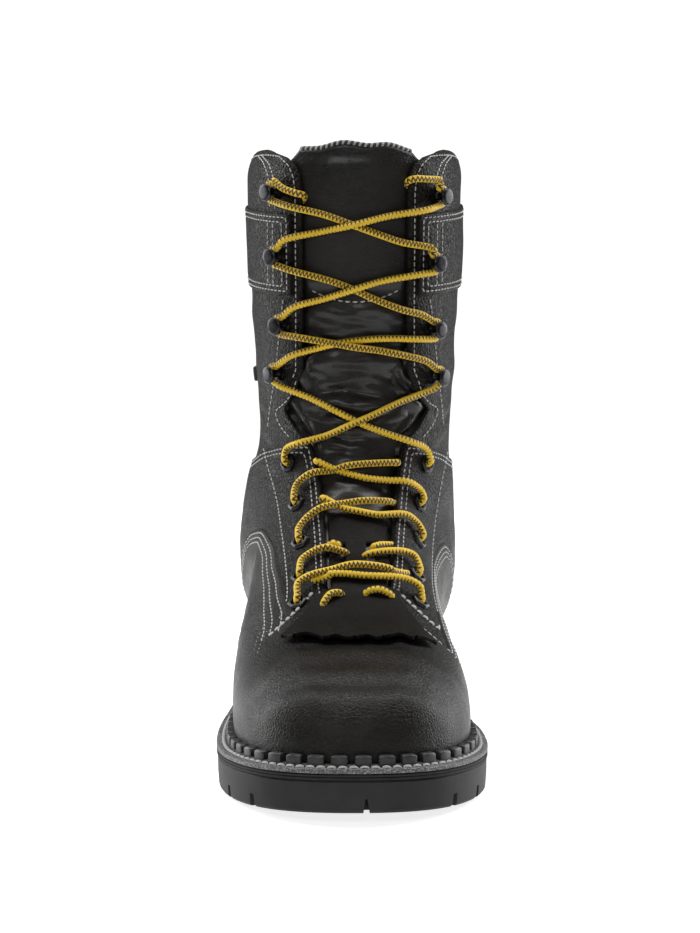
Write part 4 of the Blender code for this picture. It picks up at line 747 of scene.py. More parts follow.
def lace_material():
    """Round braid: golden yarn with a dark zigzag. UV runs along (metres) and round (0 to 1) the lace."""
    made = Nodes("braided_lace", (0.60, 0.33, 0.03), 0.55, sheen=0.04)
    split_uv = made.tree.nodes.new("ShaderNodeSeparateXYZ")
    made.tree.links.new(made.coords.outputs["UV"], split_uv.inputs[0])
    along = made.math("MULTIPLY", (split_uv, 0), 1 / 0.0018)
    wave = made.math("PINGPONG", (along, 0), 0.5)
    around = made.math("MULTIPLY", (split_uv, 1), 2.0)
    lean = made.math("ADD", (around, 0), (wave, 0))
    band = made.math("FRACT", (lean, 0))
    dark = made.ramp(band, 0, ((0.0, 0.0), (0.04, 1.0), (0.34, 1.0), (0.40, 0.0)))
    fibre = made.noise(1700.0, 3.0, 0.6)
    gold = made.ramp(fibre, "Fac", ((0.30, (0.66, 0.38, 0.008)), (0.70, (0.96, 0.68, 0.030))))
    brown = made.ramp(fibre, "Fac", ((0.30, (0.030, 0.015, 0.003)), (0.70, (0.070, 0.036, 0.006))))
    mix = made.tree.nodes.new("ShaderNodeMix")
    mix.data_type = "RGBA"
    made.link(dark, "Color", mix, "Factor")
    made.tree.links.new(gold.outputs["Color"], mix.inputs[6])
    made.tree.links.new(brown.outputs["Color"], mix.inputs[7])
    made.tree.links.new(mix.outputs[2], made.shader.inputs["Base Color"])
    strand_along = made.math("MULTIPLY", (split_uv, 0), 1 / 0.00105)
    strand_round = made.math("MULTIPLY", (split_uv, 1), 8.0)
    left = made.math("SINE", (made.math("MULTIPLY", (made.math("ADD", (strand_along, 0), (strand_round, 0)), 0), math.pi), 0))
    right = made.math("SINE", (made.math("MULTIPLY", (made.math("SUBTRACT", (strand_along, 0), (strand_round, 0)), 0), math.pi), 0))
    weave = made.math("MULTIPLY", (made.math("ABSOLUTE", (left, 0)), 0), (made.math("ABSOLUTE", (right, 0)), 0))
    made.bump([(weave, 0, 1.0, 0.00022), (fibre, "Fac", 0.5, 0.0001)])
    return made.material


def rope_material():
    """Twisted edge cord of dark and pale strands. UV runs along (metres) and round."""
    made = Nodes("twisted_cord", (0.2, 0.2, 0.2), 0.7, sheen=0.2)
    split_uv = made.tree.nodes.new("ShaderNodeSeparateXYZ")
    made.tree.links.new(made.coords.outputs["UV"], split_uv.inputs[0])
    along = made.math("MULTIPLY", (split_uv, 0), 1 / 0.0026)
    twist = made.math("FRACT", (made.math("ADD", (along, 0), (split_uv, 1)), 0))
    made.colour_from(made.ramp(twist, 0, ((0.0, (0.012, 0.012, 0.012)), (0.52, (0.016, 0.016, 0.016)), (0.60, (0.30, 0.30, 0.30)), (0.92, (0.36, 0.36, 0.35)), (1.0, (0.012, 0.012, 0.012)))))
    rope = made.math("PINGPONG", (made.math("MULTIPLY", (twist, 0), 2.0), 0), 0.5)
    made.bump([(rope, 0, 1.0, 0.0004)])
    return made.material


# Fields: signed distances, positive inside a piece, from a table of points on the form
def curve_polygon(table, per_edge=8):
    """Closed outline in the side view with its corners softened."""
    p = np.array([(y * LENGTH, z * COLLAR_HEIGHT) for y, z in table])
    q = []
    for i in range(len(p)):
        p0, p1, p2, p3 = p[i - 1], p[i], p[(i + 1) % len(p)], p[(i + 2) % len(p)]
        for t in np.linspace(0, 1, per_edge, endpoint=False):
            spline = 0.5 * (2 * p1 + (p2 - p0) * t + (2 * p0 - 5 * p1 + 4 * p2 - p3) * t**2 + (3 * p1 - p0 - 3 * p2 + p3) * t**3)
            straight = p1 + (p2 - p1) * t
            q.append(spline * 0.75 + straight * 0.25)
    return np.array(q)


def inside_distance(polygon, y, z):
    a, b = polygon, np.roll(polygon, -1, axis=0)
    edge = b - a
    best, odd = np.full(len(y), 1e9), np.zeros(len(y), bool)
    for (ay, az), (ey, ez) in zip(a, edge):
        t = np.clip(((y - ay) * ey + (z - az) * ez) / (ey * ey + ez * ez), 0, 1)
        best = np.minimum(best, np.hypot(y - ay - ey * t, z - az - ez * t))
        if ez != 0:
            crosses = ((az > z) != (az + ez > z)) & (y < ay + (z - az) * ey / ez)
            odd ^= crosses
    return np.where(odd, best, -best)


def throat_half(z):
    rows = np.array(THROAT)
    return np.interp(z / COLLAR_HEIGHT, rows[:, 0], rows[:, 1]) * SHAFT_WIDTH


def throat_middle(z):
    rows = np.array(THROAT)
    return np.interp(z / COLLAR_HEIGHT, rows[:, 0], rows[:, 2]) * SHAFT_WIDTH


def outside_throat(a):
    gap = np.abs(a[:, 0] - throat_middle(a[:, 2])) - throat_half(a[:, 2])
    return np.where(a[:, 1] > -0.13 * LENGTH, 0.02, np.minimum(gap, 0.02))


def collar_line(y):
    return COLLAR_HEIGHT - COLLAR_DIP * smooth((y + 0.075) / 0.10)


def below_collar(a):
    return collar_line(a[:, 1]) - a[:, 2]


POLYGONS = {"lateral": curve_polygon(VAMP_LATERAL), "medial": curve_polygon(VAMP_MEDIAL), "counter": curve_polygon(COUNTER_SIDE)}


def in_vamp(a):
    lateral = inside_distance(POLYGONS["lateral"], a[:, 1], a[:, 2])
    medial = inside_distance(POLYGONS["medial"], a[:, 1], a[:, 2])
    return np.where(a[:, 6] < 0, lateral, medial)


def in_counter(a):
    return inside_distance(POLYGONS["counter"], a[:, 1], a[:, 2])


def under_quarter_top(a):
    top = np.array(QUARTER_TOP)
    return table_curve(QUARTER_TOP, 1, a[:, 1] / LENGTH) * COLLAR_HEIGHT - a[:, 2]


def on_backstay(a):
    return np.where(a[:, 1] > 0, BACKSTAY_WIDTH / 2 - np.abs(a[:, 0]), -0.02)


def on_side(sign):
    return lambda a: np.where(a[:, 1] > -0.03, sign * a[:, 0], sign * a[:, 6])


def tongue_half(z):
    grow = TONGUE_HALF * (0.52 + 0.48 * smooth((z - 0.27 * COLLAR_HEIGHT) / (0.5 * COLLAR_HEIGHT)))
    return grow - 0.32 * TONGUE_HALF * smooth((z - TONGUE_HEIGHT + 0.016) / 0.016)


# Relief of the leather: broad swells and creases that every layer follows
def wave_noise(points, scale, seed, octaves=3):
    """Smooth noise from a few turned sine waves, the same each run."""
    rng = np.random.default_rng(seed)
    total, high = np.zeros(len(points)), 1.0
    for _ in range(octaves):
        for _ in range(5):
            way = rng.normal(size=3)
            way /= np.linalg.norm(way)
            total += high * np.sin(points @ way * (2 * math.pi * scale) + rng.uniform(0, 6.28)) / 5
        scale, high = scale * 1.9, high * 0.5
    return total


# Each crease: width, depth (a swell is negative), then its points x y z in millimetres
CREASES = (
    (3.2, 0.9, (-46, -60, 131), (-40, -78, 128), (-34, -92, 133)),
    (2.6, 0.7, (-50, -45, 146), (-44, -70, 142), (-38, -84, 147)),
    (3.4, 0.8, (44, -62, 129), (39, -78, 126), (34, -90, 131)),
    (2.6, 0.7, (48, -44, 144), (42, -66, 140), (37, -80, 145)),
    (4.2, 0.8, (-48, -28, 118), (-51, -6, 121), (-46, 14, 128)),
    (3.2, 0.6, (-46, -30, 134), (-48, -8, 139), (-42, 14, 143)),
    (4.2, 0.8, (46, -28, 117), (48, -6, 121), (44, 14, 127)),
    (3.2, 0.6, (45, -30, 134), (47, -8, 138), (41, 14, 142)),
    (6.0, 0.7, (-51, -50, 176), (-51, -20, 170), (-47, 12, 176)),
    (6.0, 0.7, (50, -52, 181), (51, -20, 173), (47, 12, 180)),
    (5.0, -0.5, (-51, -58, 192), (-52, -24, 187), (-47, 12, 191)),
    (5.0, -0.5, (51, -56, 166), (50, -22, 160), (45, 12, 163)),
    (3.0, 0.5, (-50, -118, 50), (-46, -128, 66), (-40, -134, 76)),
    (3.0, 0.5, (48, -112, 48), (46, -122, 62), (40, -130, 72)),
    (2.6, 0.45, (-52, -136, 42), (-48, -148, 56), (-40, -154, 68)),
    (2.6, 0.45, (50, -130, 40), (48, -140, 54), (41, -148, 64)),
    (7.5, -1.6, (-40, -236, 48), (-36, -230, 53.5), (-28, -228, 58), (-15, -222, 60.5), (0, -218, 61), (17, -222, 60.5), (28, -226, 58), (36, -225, 53), (41, -229, 47)),
    (5.0, 1.1, (-42, -241, 39), (-37, -243.5, 46), (-29, -248, 50.5), (-19, -250, 53), (-4, -251, 54), (10, -251, 54), (21, -249, 53), (32, -246, 49), (40, -241, 42)),
)


def crease_depth(points, creases):
    depth = np.zeros(len(points))
    for width, deep, *line in creases:
        line, width = np.array(line, float) / 1000, width / 1000
        run, best, at = 0.0, np.full(len(points), 1e9), np.zeros(len(points))
        total = np.linalg.norm(np.diff(line, axis=0), axis=1).sum()
        for p, q in zip(line, line[1:]):
            way = q - p
            long = np.linalg.norm(way)
            t = np.clip((points - p) @ way / long**2, 0, 1)
            far = np.linalg.norm(points - p - way * t[:, None], axis=1)
            at = np.where(far < best, (run + t * long) / total, at)
            best = np.minimum(best, far)
            run += long
        end = smooth(at / 0.25) * smooth((1 - at) / 0.25)
        shape = np.exp(-((best / width) ** 2)) - 0.35 * np.exp(-(((best - 1.9 * width) / width) ** 2))
        depth -= deep / 1000 * shape * (0.15 + 0.85 * end)
    return depth


def leather_relief(points, u):
    high = crease_depth(points, CREASES)
    shaft = smooth((points[:, 2] - 0.09) / 0.05)
    toe = smooth((-points[:, 1] - 0.17) / 0.04)
    high += 0.00055 * shaft * wave_noise(points * (1, 1, 0.8), 22.0, 3)
    high += 0.00022 * (1 - toe) * (1 - shaft) * wave_noise(points, 40.0, 5)
    high += 0.00010 * toe * wave_noise(points, 26.0, 7, 2)
    top = np.clip((points[:, 2] - COLLAR_HEIGHT + 0.0165) / 0.0165, 0, 1.1) ** 2.2
    high -= 0.0064 * top * smooth((np.abs(points[:, 0]) - 0.030) / 0.012)
    return high * smooth((points[:, 2] - seat_z(points[:, 1])) / 0.006)


def build_upper(form, skin, m):
    """Outer leather, lining inside it, and the overlays that lie on it."""
    a, t = skin
    outer = [below_collar, outside_throat]
    shaft = panel("shaft_leather", m["shaft"], a, t, outer, -0.0011, 0.0011, edge=0.0009, grooves=((0.0032, 0.00018),))
    place(shaft, "grained_leather", "upper")
    coarse = skin_of(form, 2)
    inner = [lambda a: below_collar(a) - 0.0008, lambda a: outside_throat(a) - 0.0009]
    lining = panel("shaft_lining", m["lining"], *coarse, inner, -WALL, 0.0010, edge=0.0008)
    place(lining, "grained_leather")
    made = [shaft]
    vamp = panel("vamp_leather", m["vamp"], a, t, [in_vamp, lambda a: outside_throat(a) - 0.0004], 0.0, VAMP_THICK * 0.85, edge=0.0011,
                 grooves=((0.0023, 0.00012),))
    place(vamp, "black_leather", "vamp")
    counter = panel("counter_leather", m["vamp"], a, t, [in_counter], 0.0, COUNTER_THICK * 0.85, edge=0.0011, grooves=((0.0023, 0.00012),))
    place(counter, "black_leather", "counter")
    made += [vamp, counter]
    for name, sign in (("quarter_lateral", -1), ("quarter_medial", 1)):
        fields = [
            under_quarter_top,
            lambda a: 0.0022 - in_vamp(a),
            lambda a: 0.0022 - in_counter(a),
            on_side(sign),
            lambda a: 0.002 - on_backstay(a),
            lambda a: outside_throat(a) - 0.0003,
        ]
        quarter = panel(name + "_leather", m["quarter"], a, t, fields, 0.0, 0.0013, edge=0.0009, grooves=((0.0028, 0.00016),))
        made.append(place(quarter, "grained_leather", name))
    fields = [lambda a: a[:, 2] - BAND_LOW, lambda a: BAND_HIGH - a[:, 2], lambda a: outside_throat(a) - 0.0045]
    band = panel("collar_strap", m["shaft"], a, t, fields, 0.0, 0.0014, edge=0.0010, grooves=((0.0024, 0.00015), (0.0046, 0.00015)))
    made.append(place(band, "grained_leather", "collar_band"))
    fields = [on_backstay, lambda a: BAND_LOW + 0.002 - a[:, 2], lambda a: 0.002 - in_counter(a)]
    strip = panel("backstay_strip", m["vamp"], a, t, fields, 0.0, BACKSTAY_THICK * 0.9, edge=0.0009, grooves=((0.0022, 0.00015),))
    made.append(place(strip, "black_leather", "backstay"))
    return made


# Tongue, gussets and kiltie
TONGUE_CREASES = (
    (2.4, 1.0, (-26, -100, 196), (-8, -104, 190), (12, -104, 194), (28, -100, 187)),
    (2.0, 0.9, (-24, -100, 180), (-6, -104, 184), (10, -104, 178), (27, -99, 182)),
    (2.2, 1.2, (-26, -98, 170), (-10, -103, 166), (8, -103, 169), (24, -99, 163)),
    (2.0, 1.0, (-22, -98, 157), (-4, -102, 160), (14, -101, 155), (27, -97, 158)),
    (2.4, 1.3, (-26, -97, 147), (-10, -101, 150), (6, -102, 145), (22, -98, 149)),
    (1.8, 0.9, (-18, -100, 139), (-2, -104, 137), (12, -104, 140), (24, -99, 136)),
    (2.0, 1.0, (-20, -103, 131), (-4, -107, 133), (12, -107, 129), (22, -102, 132)),
    (2.0, 0.8, (-16, -108, 124), (0, -112, 122), (14, -111, 125)),
    (1.8, 0.8, (-16, -113, 116), (0, -117, 118), (14, -116, 115)),
    (2.6, -0.8, (-24, -99, 175), (-4, -104, 173), (20, -101, 172)),
    (2.6, -0.8, (-24, -98, 153), (0, -102, 153), (22, -99, 152)),
)


def tongue_edge(z):
    """Height of the tongue's top, before the wave across x is added."""
    return TONGUE_HEIGHT + 0.0004


def tongue_fields():
    wavy = lambda a: tongue_edge(a[:, 2]) - 0.0007 * np.sin(a[:, 0] * 260.0) - 4.0 * a[:, 0] ** 2 - a[:, 2]
    return [
        wavy,
        lambda a: a[:, 2] - 0.262 * COLLAR_HEIGHT,
        lambda a: np.where(a[:, 1] < -0.04, tongue_half(a[:, 2]) - np.abs(a[:, 0] - throat_middle(a[:, 2])), -0.02),
    ]


def tongue_swell(a):
    """The tongue's face: padded above, wrinkled and slack below."""
    z = a[:, 2]
    slack = smooth((0.207 - z) / 0.012) * smooth((z - 0.098) / 0.010)
    wrinkles = 1.5 * crease_depth(a[:, :3], TONGUE_CREASES) * slack
    ripple = 0.0013 * slack * wave_noise(a[:, :3] * (0.55, 1, 1.5), 42.0, 11, 3)
    padded = 0.0010 * smooth((z - 0.205) / 0.006) * smooth((TONGUE_HEIGHT - 0.004 - z) / 0.006)
    seam = -0.0007 * np.exp(-(((z - 0.1435) / 0.0011) ** 2))
    return wrinkles + ripple + padded + seam


def build_tongue(form, skin, m):
    a, t = skin
    front = (a[t, 1].max(1) < -0.02) & (a[t, 2].min(1) > 0.055)
    fine = refine(*pack_points(a, t[front]))
    tongue = panel("tongue_leather", m["tongue"], *fine, tongue_fields(), -TONGUE_DROP - TONGUE_THICK * 0.75, TONGUE_THICK * 0.75,
                   edge=0.0022, lift=tongue_swell)
    place(tongue, "black_leather", "tongue")
    rim = seam_lines(*fine, tongue_fields()[0], 0.0, lambda a: (tongue_half(a[:, 2]) - np.abs(a[:, 0])) > -0.0002)
    line = max(rim, key=len)
    path = line[:, :3] - line[:, 3:6] * (TONGUE_DROP + 0.0016)
    cord = sweep("tongue_edge_cord", [smooth_path(path, 0.0009)], 0.00125, m["rope"], 12, knobs=(0.0026, 1, 0.08))
    place(cord, "black_leather")
    bellows = []
    for sign in (-1, 1):
        bellows.append(gusset(form, sign, m))
    return tongue, fine


def gusset(form, sign, m):
    """Folded leather between the facing and the tongue, seen in the notch at the ankle."""
    points, faces, rows, columns = [], [], 44, 12
    for i in range(rows + 1):
        z = COLLAR_HEIGHT * (0.475 + 0.185 * i / rows)
        edge = float(throat_middle(np.array([z]))[0] + sign * (throat_half(np.array([z]))[0] + 0.003))
        inner = float(throat_middle(np.array([z]))[0] + sign * 0.0185)
        for k in range(columns + 1):
            t = k / columns
            x = edge + (inner - edge) * t
            point, out = form.at(x, z)
            fold = 0.0016 * math.sin(t * 9.0 + 5.0 * math.sin(z * 130.0 + sign)) + 0.0009 * math.sin(z * 620.0 + t * 4.0 + sign)
            deep = -0.0026 - 0.0016 * t + fold * math.sin(math.pi * min(1.0, t * 1.3))
            points.append(point + out * deep)
    for i in range(rows):
        for k in range(columns):
            p = i * (columns + 1) + k
            faces.append((p, p + 1, p + columns + 2, p + columns + 1))
    name = "gusset_lateral" if sign < 0 else "gusset_medial"
    made = make_mesh(name, points, faces, m["tongue"], sharp=0)
    thick = made.modifiers.new("Thickness", "SOLIDIFY")
    thick.thickness, thick.offset = 0.0009, 0.0
    smoother = made.modifiers.new("Smooth", "SUBSURF")
    smoother.levels = smoother.render_levels = 1
    return place(made, "black_leather")


def kiltie_rise(z):
    return smooth((0.345 - z / COLLAR_HEIGHT) / 0.050)


def kiltie_lift(a):
    share = kiltie_rise(a[:, 2])
    flare = 0.0020 * smooth((-a[:, 1] / LENGTH - 0.58) / 0.07)
    ripple = 0.0005 * smooth((-a[:, 1] / LENGTH - 0.60) / 0.05) * np.sin(a[:, 0] * 2 * math.pi / 0.0125)
    return -TONGUE_DROP + 0.0003 + (TONGUE_DROP + VAMP_THICK + 0.0002) * share + flare + ripple


def build_kiltie(form, fine, m):
    a, t = fine
    near = (a[t, 1].max(1) < -0.1) & (a[t, 2].min(1) < 0.42 * COLLAR_HEIGHT) & (np.abs(a[t, 0]).max(1) < 0.045)
    a, t = pack_points(a, t[near])

    def half(a):
        free = np.interp(a[:, 1], [-0.640 * LENGTH, -0.535 * LENGTH], [KILTIE_HALF + 0.0015, 0.0180])
        share = smooth((0.284 - a[:, 2] / COLLAR_HEIGHT) / 0.012)
        return (throat_half(a[:, 2]) - 0.0014) * (1 - share) + free * share - np.abs(a[:, 0] - throat_middle(a[:, 2]))

    def edge(a):
        wave = 0.0011 * np.cos(2 * math.pi * a[:, 0] / 0.0125) + 0.0004 * np.sin(a[:, 0] * 900.0)
        nick = 0.0016 * np.clip(1 - np.abs((a[:, 0] / 0.0125 + 0.5) % 1 - 0.5) / 0.06, 0, 1)
        return a[:, 1] + 0.655 * LENGTH + wave - 7.0 * a[:, 0] ** 2 - nick

    def slots(a):
        best = np.full(len(a), 0.01)
        for x, z, wide, tall in KILTIE_SLOTS:
            dx = np.abs(a[:, 0] - x * SHAFT_WIDTH) - wide / 2
            dz = np.abs(a[:, 2] - z * COLLAR_HEIGHT) - tall * 0.42
            best = np.minimum(best, np.maximum(dx, dz))
        return best

    fields = [lambda a: 0.395 * COLLAR_HEIGHT - a[:, 2], half, edge, slots]
    made = panel("kiltie_leather", m["kiltie"], a, t, fields, kiltie_lift, KILTIE_THICK, edge=0.0007)
    return place(made, "black_leather", "kiltie"), (a, t)


# Tubes swept along paths: the lace and the cord on the tongue's edge
def smooth_path(points, step):
    """Even points along a Catmull-Rom curve."""
    p = np.array([tuple(q) for q in points], float)
    p = np.vstack([2 * p[0] - p[1], p, 2 * p[-1] - p[-2]])
    dense = []
    for p0, p1, p2, p3 in zip(p, p[1:], p[2:], p[3:]):
        for t in np.linspace(0, 1, 16, endpoint=False):
            dense.append(0.5 * (2 * p1 + (p2 - p0) * t + (2 * p0 - 5 * p1 + 4 * p2 - p3) * t**2 + (3 * p1 - p0 - 3 * p2 + p3) * t**3))
    dense = np.array(dense + [p[-2]])
    run = np.concatenate([[0], np.cumsum(np.linalg.norm(np.diff(dense, axis=0), axis=1))])
    at = np.linspace(0, run[-1], max(3, int(run[-1] / step)))
    return np.column_stack([np.interp(at, run, column) for column in dense.T])


def sweep(name, paths, radius, finish, sides, knobs=None):
    """Round tubes along paths as one mesh, with UV along and round. Knobs are (pitch, starts, depth)."""
    points, faces, uvs, start = [], [], [], 0
    turn = 2 * math.pi * np.arange(sides) / sides
    for path in paths:
        way = np.gradient(path, axis=0)
        way /= np.linalg.norm(way, axis=1)[:, None]
        up, ups = np.cross(way[0], (0.3, 0.2, 1.0)), []
        for forward in way:
            up = up - forward * up.dot(forward)
            up = up / np.linalg.norm(up)
            ups.append(up)
        ups = np.array(ups)
        side = np.cross(way, ups)
        run = np.concatenate([[0], np.cumsum(np.linalg.norm(np.diff(path, axis=0), axis=1))])
        end = np.clip(np.minimum(run, run[-1] - run) / radius, 0, 1)
        r = np.repeat((radius * (0.1 + 0.9 * np.sqrt(1 - (1 - end) ** 2)))[:, None], sides, axis=1)
        if knobs is not None:
            pitch, starts, depth = knobs
            a = np.abs(np.sin(math.pi * (run[:, None] / pitch + starts * np.arange(sides) / sides)))
            b = np.abs(np.sin(math.pi * (run[:, None] / pitch - starts * np.arange(sides) / sides)))
            r *= 1 - depth + depth * (a if starts == 1 else np.maximum(a, b))
        ring = ups[:, None] * np.cos(turn)[None, :, None] + side[:, None] * np.sin(turn)[None, :, None]
        points.append((path[:, None] + ring * r[:, :, None]).reshape(-1, 3))
        i = np.repeat(np.arange(len(path) - 1), sides)
        k = np.tile(np.arange(sides), len(path) - 1)
        j = (k + 1) % sides
        faces.append(start + np.column_stack([i * sides + k, i * sides + j, (i + 1) * sides + j, (i + 1) * sides + k]))
        low, high = k / sides, (k + 1) / sides
        uvs.append(np.stack([np.column_stack([run[i], low]), np.column_stack([run[i], high]),
                             np.column_stack([run[i + 1], high]), np.column_stack([run[i + 1], low])], axis=1).reshape(-1, 2))
        start += len(path) * sides
    quads = np.vstack(faces)
    caps, offset = [], 0
    for path in paths:
        caps.append(list(range(offset, offset + sides))[::-1])
        offset += len(path) * sides
        caps.append(list(range(offset - sides, offset)))
    uv = np.vstack(uvs + [np.zeros((len(caps) * sides, 2))])
    return make_mesh(name, np.vstack(points), quads.tolist() + caps, finish, loop_uv=uv, sharp=0)


# Hardware
def stud_places(table):
    return [((-lx * SHAFT_WIDTH, lz * COLLAR_HEIGHT), (rx * SHAFT_WIDTH, rz * COLLAR_HEIGHT)) for lz, lx, rz, rx in table]


def frame_on(out):
    across = Vector((1, 0, 0))
    across = (across - out * across.dot(out)).normalized()
    return across, out.cross(across).normalized()


def lathe(profile, place_at, out, sides, spin=0.0, shape=None):
    """Points and faces of a closed ring of profile points (radius, height) turned about a normal."""
    across, up = frame_on(out)
    points, faces = [], []
    for k in range(sides):
        turn = 2 * math.pi * k / sides + spin
        for radius, height in profile:
            r = radius * (shape(turn, radius) if shape is not None else 1.0)
            points.append(place_at + across * (math.cos(turn) * r) + up * (math.sin(turn) * r) + out * height)
    n = len(profile)
    for k in range(sides):
        j = (k + 1) % sides
        for i in range(n):
            q = (i + 1) % n
            faces.append((k * n + i, j * n + i, j * n + q, k * n + q))
    return points, faces


def hexagon(turn, radius):
    """Radius factor of a softened hexagon, only for the outer edge."""
    if radius < 0.0034:
        return 1.0
    t = (turn % (math.pi / 3)) - math.pi / 6
    return 0.94 * (math.cos(math.pi / 6) / math.cos(t)) ** 0.85 * 1.08


EYELET_BASE = QUARTER_THICK + 0.0001


def hook_base(z):
    return 0.0003 + (BAND_THICK if BAND_LOW - 0.004 < z < BAND_HIGH + 0.004 else 0.0)


def build_hardware(form, m):
    for i, places in enumerate(stud_places(EYELETS)):
        for side, (x, z) in zip(("lateral", "medial"), places):
            spot, out = form.at(x, z)
            b = EYELET_BASE
            profile = [(0.0047, b - 0.0004), (0.0047, b + 0.0003), (0.0044, b + 0.0008), (0.0038, b + 0.0011), (0.0031, b + 0.00115),
                       (0.0026, b + 0.0008), (0.0023, b + 0.0001), (0.0022, b - 0.0012), (0.0023, b - 0.0026), (0.0027, b - 0.0026),
                       (0.0027, b - 0.0004)]
            points, faces = lathe(profile, spot, out, 48, 0.4 * i, hexagon)
            made = make_mesh(f"eyelet_{side}_{i + 1}_ring", points, faces, m["metal"], sharp=38)
            place(made, "dark_metal", f"eyelet_{side}_{i + 1}")
    for i, places in enumerate(stud_places(HOOKS)):
        for side, (x, z) in zip(("lateral", "medial"), places):
            spot, out = form.at(x, z)
            b, h = hook_base(z), 0.0072
            profile = [(0.0, b + h), (0.0024, b + h), (0.0034, b + h - 0.0001), (0.0040, b + h - 0.0004), (0.0043, b + h - 0.0009),
                       (0.0042, b + h - 0.0013), (0.0037, b + h - 0.0016), (0.0028, b + h - 0.0018), (0.0021, b + h - 0.0024),
                       (0.0019, b + h - 0.0034), (0.0019, b + 0.0016), (0.0022, b + 0.0010), (0.0034, b + 0.0007), (0.0041, b + 0.0004),
                       (0.0042, b - 0.0003), (0.0, b - 0.0003)]
            points, faces = lathe(profile, spot, out, 40)
            made = make_mesh(f"hook_{side}_{i + 1}_stud", points, faces, m["metal"], sharp=42)
            place(made, "dark_metal", f"hook_{side}_{i + 1}")


# Lace: each visible run's places on the form, x and height in millimetres, between its two ends.
# An end is an eyelet or a hook (side, number), or "under" for a run that passes beneath the facing or the kiltie.
RUNS = (
    (("eyelet", 0, 0), ((-23.6, 75.8), (-18.0, 79.0), (-10.5, 81.0), (-1.0, 81.9), (7.5, 81.6), (13.4, 80.6)), ("under", 1), 1),
    (("eyelet", 1, 0), ((25.6, 73.4), (21.1, 76.2), (15.0, 77.8), (5.5, 78.9), (-4.0, 79.6), (-10.6, 79.6)), ("under", -1), 0),
    (("eyelet", 0, 1), ((-22.6, 85.2), (-18.1, 88.6), (-12.6, 90.4), (-7.6, 91.2)), ("slot", 1), 0),
    (("slot", -1), ((-7.2, 93.0), (-9.6, 93.4)), ("under", -1), 0),
    (("eyelet", 1, 1), ((24.3, 84.8), (19.7, 87.6), (13.6, 89.2), (8.4, 89.8)), ("slot", -1), 0),
    (("slot", 1), ((8.0, 92.2), (11.2, 92.8)), ("under", 1), 0),
    (("eyelet", 0, 2), ((-23.7, 97.4), (-19.9, 102.0), (-13.9, 106.0), (-4.6, 109.2), (4.6, 109.8), (14.8, 108.6)), ("under", 1), 1),
    (("eyelet", 1, 2), ((25.5, 97.6), (20.0, 101.8), (10.8, 104.4), (1.5, 106.3), (-6.1, 107.8), (-13.9, 109.6)), ("under", -1), 0),
    (("eyelet", 0, 3), ((-24.5, 114.6), (-18.5, 120.0), (-10.8, 123.4), (-3.1, 125.2), (7.8, 126.0), (18.3, 125.4)), ("under", 1), 1),
    (("eyelet", 1, 3), ((27.2, 111.8), (21.8, 115.9), (15.5, 118.0), (6.2, 120.0), (-1.5, 121.8), (-9.3, 123.8), (-16.4, 126.0)), ("under", -1), 0),
    (("eyelet", 0, 4), ((-28.9, 130.9), (-23.4, 134.1), (-14.0, 138.4), (-3.1, 143.1), (9.3, 148.3), (21.9, 153.2), (34.0, 158.0)), ("hook", 1, 0, -1), 1),
    (("eyelet", 1, 4), ((29.7, 131.0), (23.4, 135.0), (14.0, 139.6), (1.5, 144.8), (-10.9, 150.6), (-21.9, 155.2), (-32.5, 159.6)), ("hook", 0, 0, -1), 0),
    (("hook", 0, 0, 1), ((-28.0, 175.2), (-18.6, 178.6), (-7.8, 181.4), (3.1, 182.9), (15.5, 183.4), (28.0, 182.8)), ("hook", 1, 1, -1), 0),
    (("hook", 1, 0, 1), ((31.2, 172.3), (21.8, 175.6), (10.8, 178.0), (0.0, 179.8), (-12.4, 181.6), (-24.3, 183.8)), ("hook", 0, 1, -1), 1),
    (("hook", 0, 1, 1), ((-26.4, 198.2), (-13.9, 202.2), (0.0, 206.9), (12.4, 210.2), (24.7, 212.6)), ("hook", 1, 2, -1), 1),
    (("hook", 1, 1, 1), ((29.5, 194.2), (21.8, 196.8), (10.4, 201.4), (-1.0, 206.6), (-12.4, 210.6), (-26.7, 214.6)), ("hook", 0, 2, -1), 0),
    (("hook", 0, 2, 1), ((-29.3, 229.7), (-15.4, 233.2), (0.0, 236.8), (15.4, 240.2), (29.9, 242.9)), ("hook", 1, 3, -1), 1),
    (("hook", 1, 2, 1), ((32.5, 225.4), (21.7, 228.2), (9.2, 232.6), (-3.1, 237.1), (-15.4, 241.2), (-28.8, 244.6)), ("hook", 0, 3, -1), 0),
)
BARS = (((-13.6, 70.6), (-10.6, 72.4), (-6.6, 73.6)), ((5.6, 74.2), (10.0, 73.9), (14.6, 72.8)))
TAILS = (((-35.4, 256.0), (-31.4, 252.9), (-26.6, 250.8)), ((37.0, 256.0), (32.0, 257.0), (27.6, 257.4)))


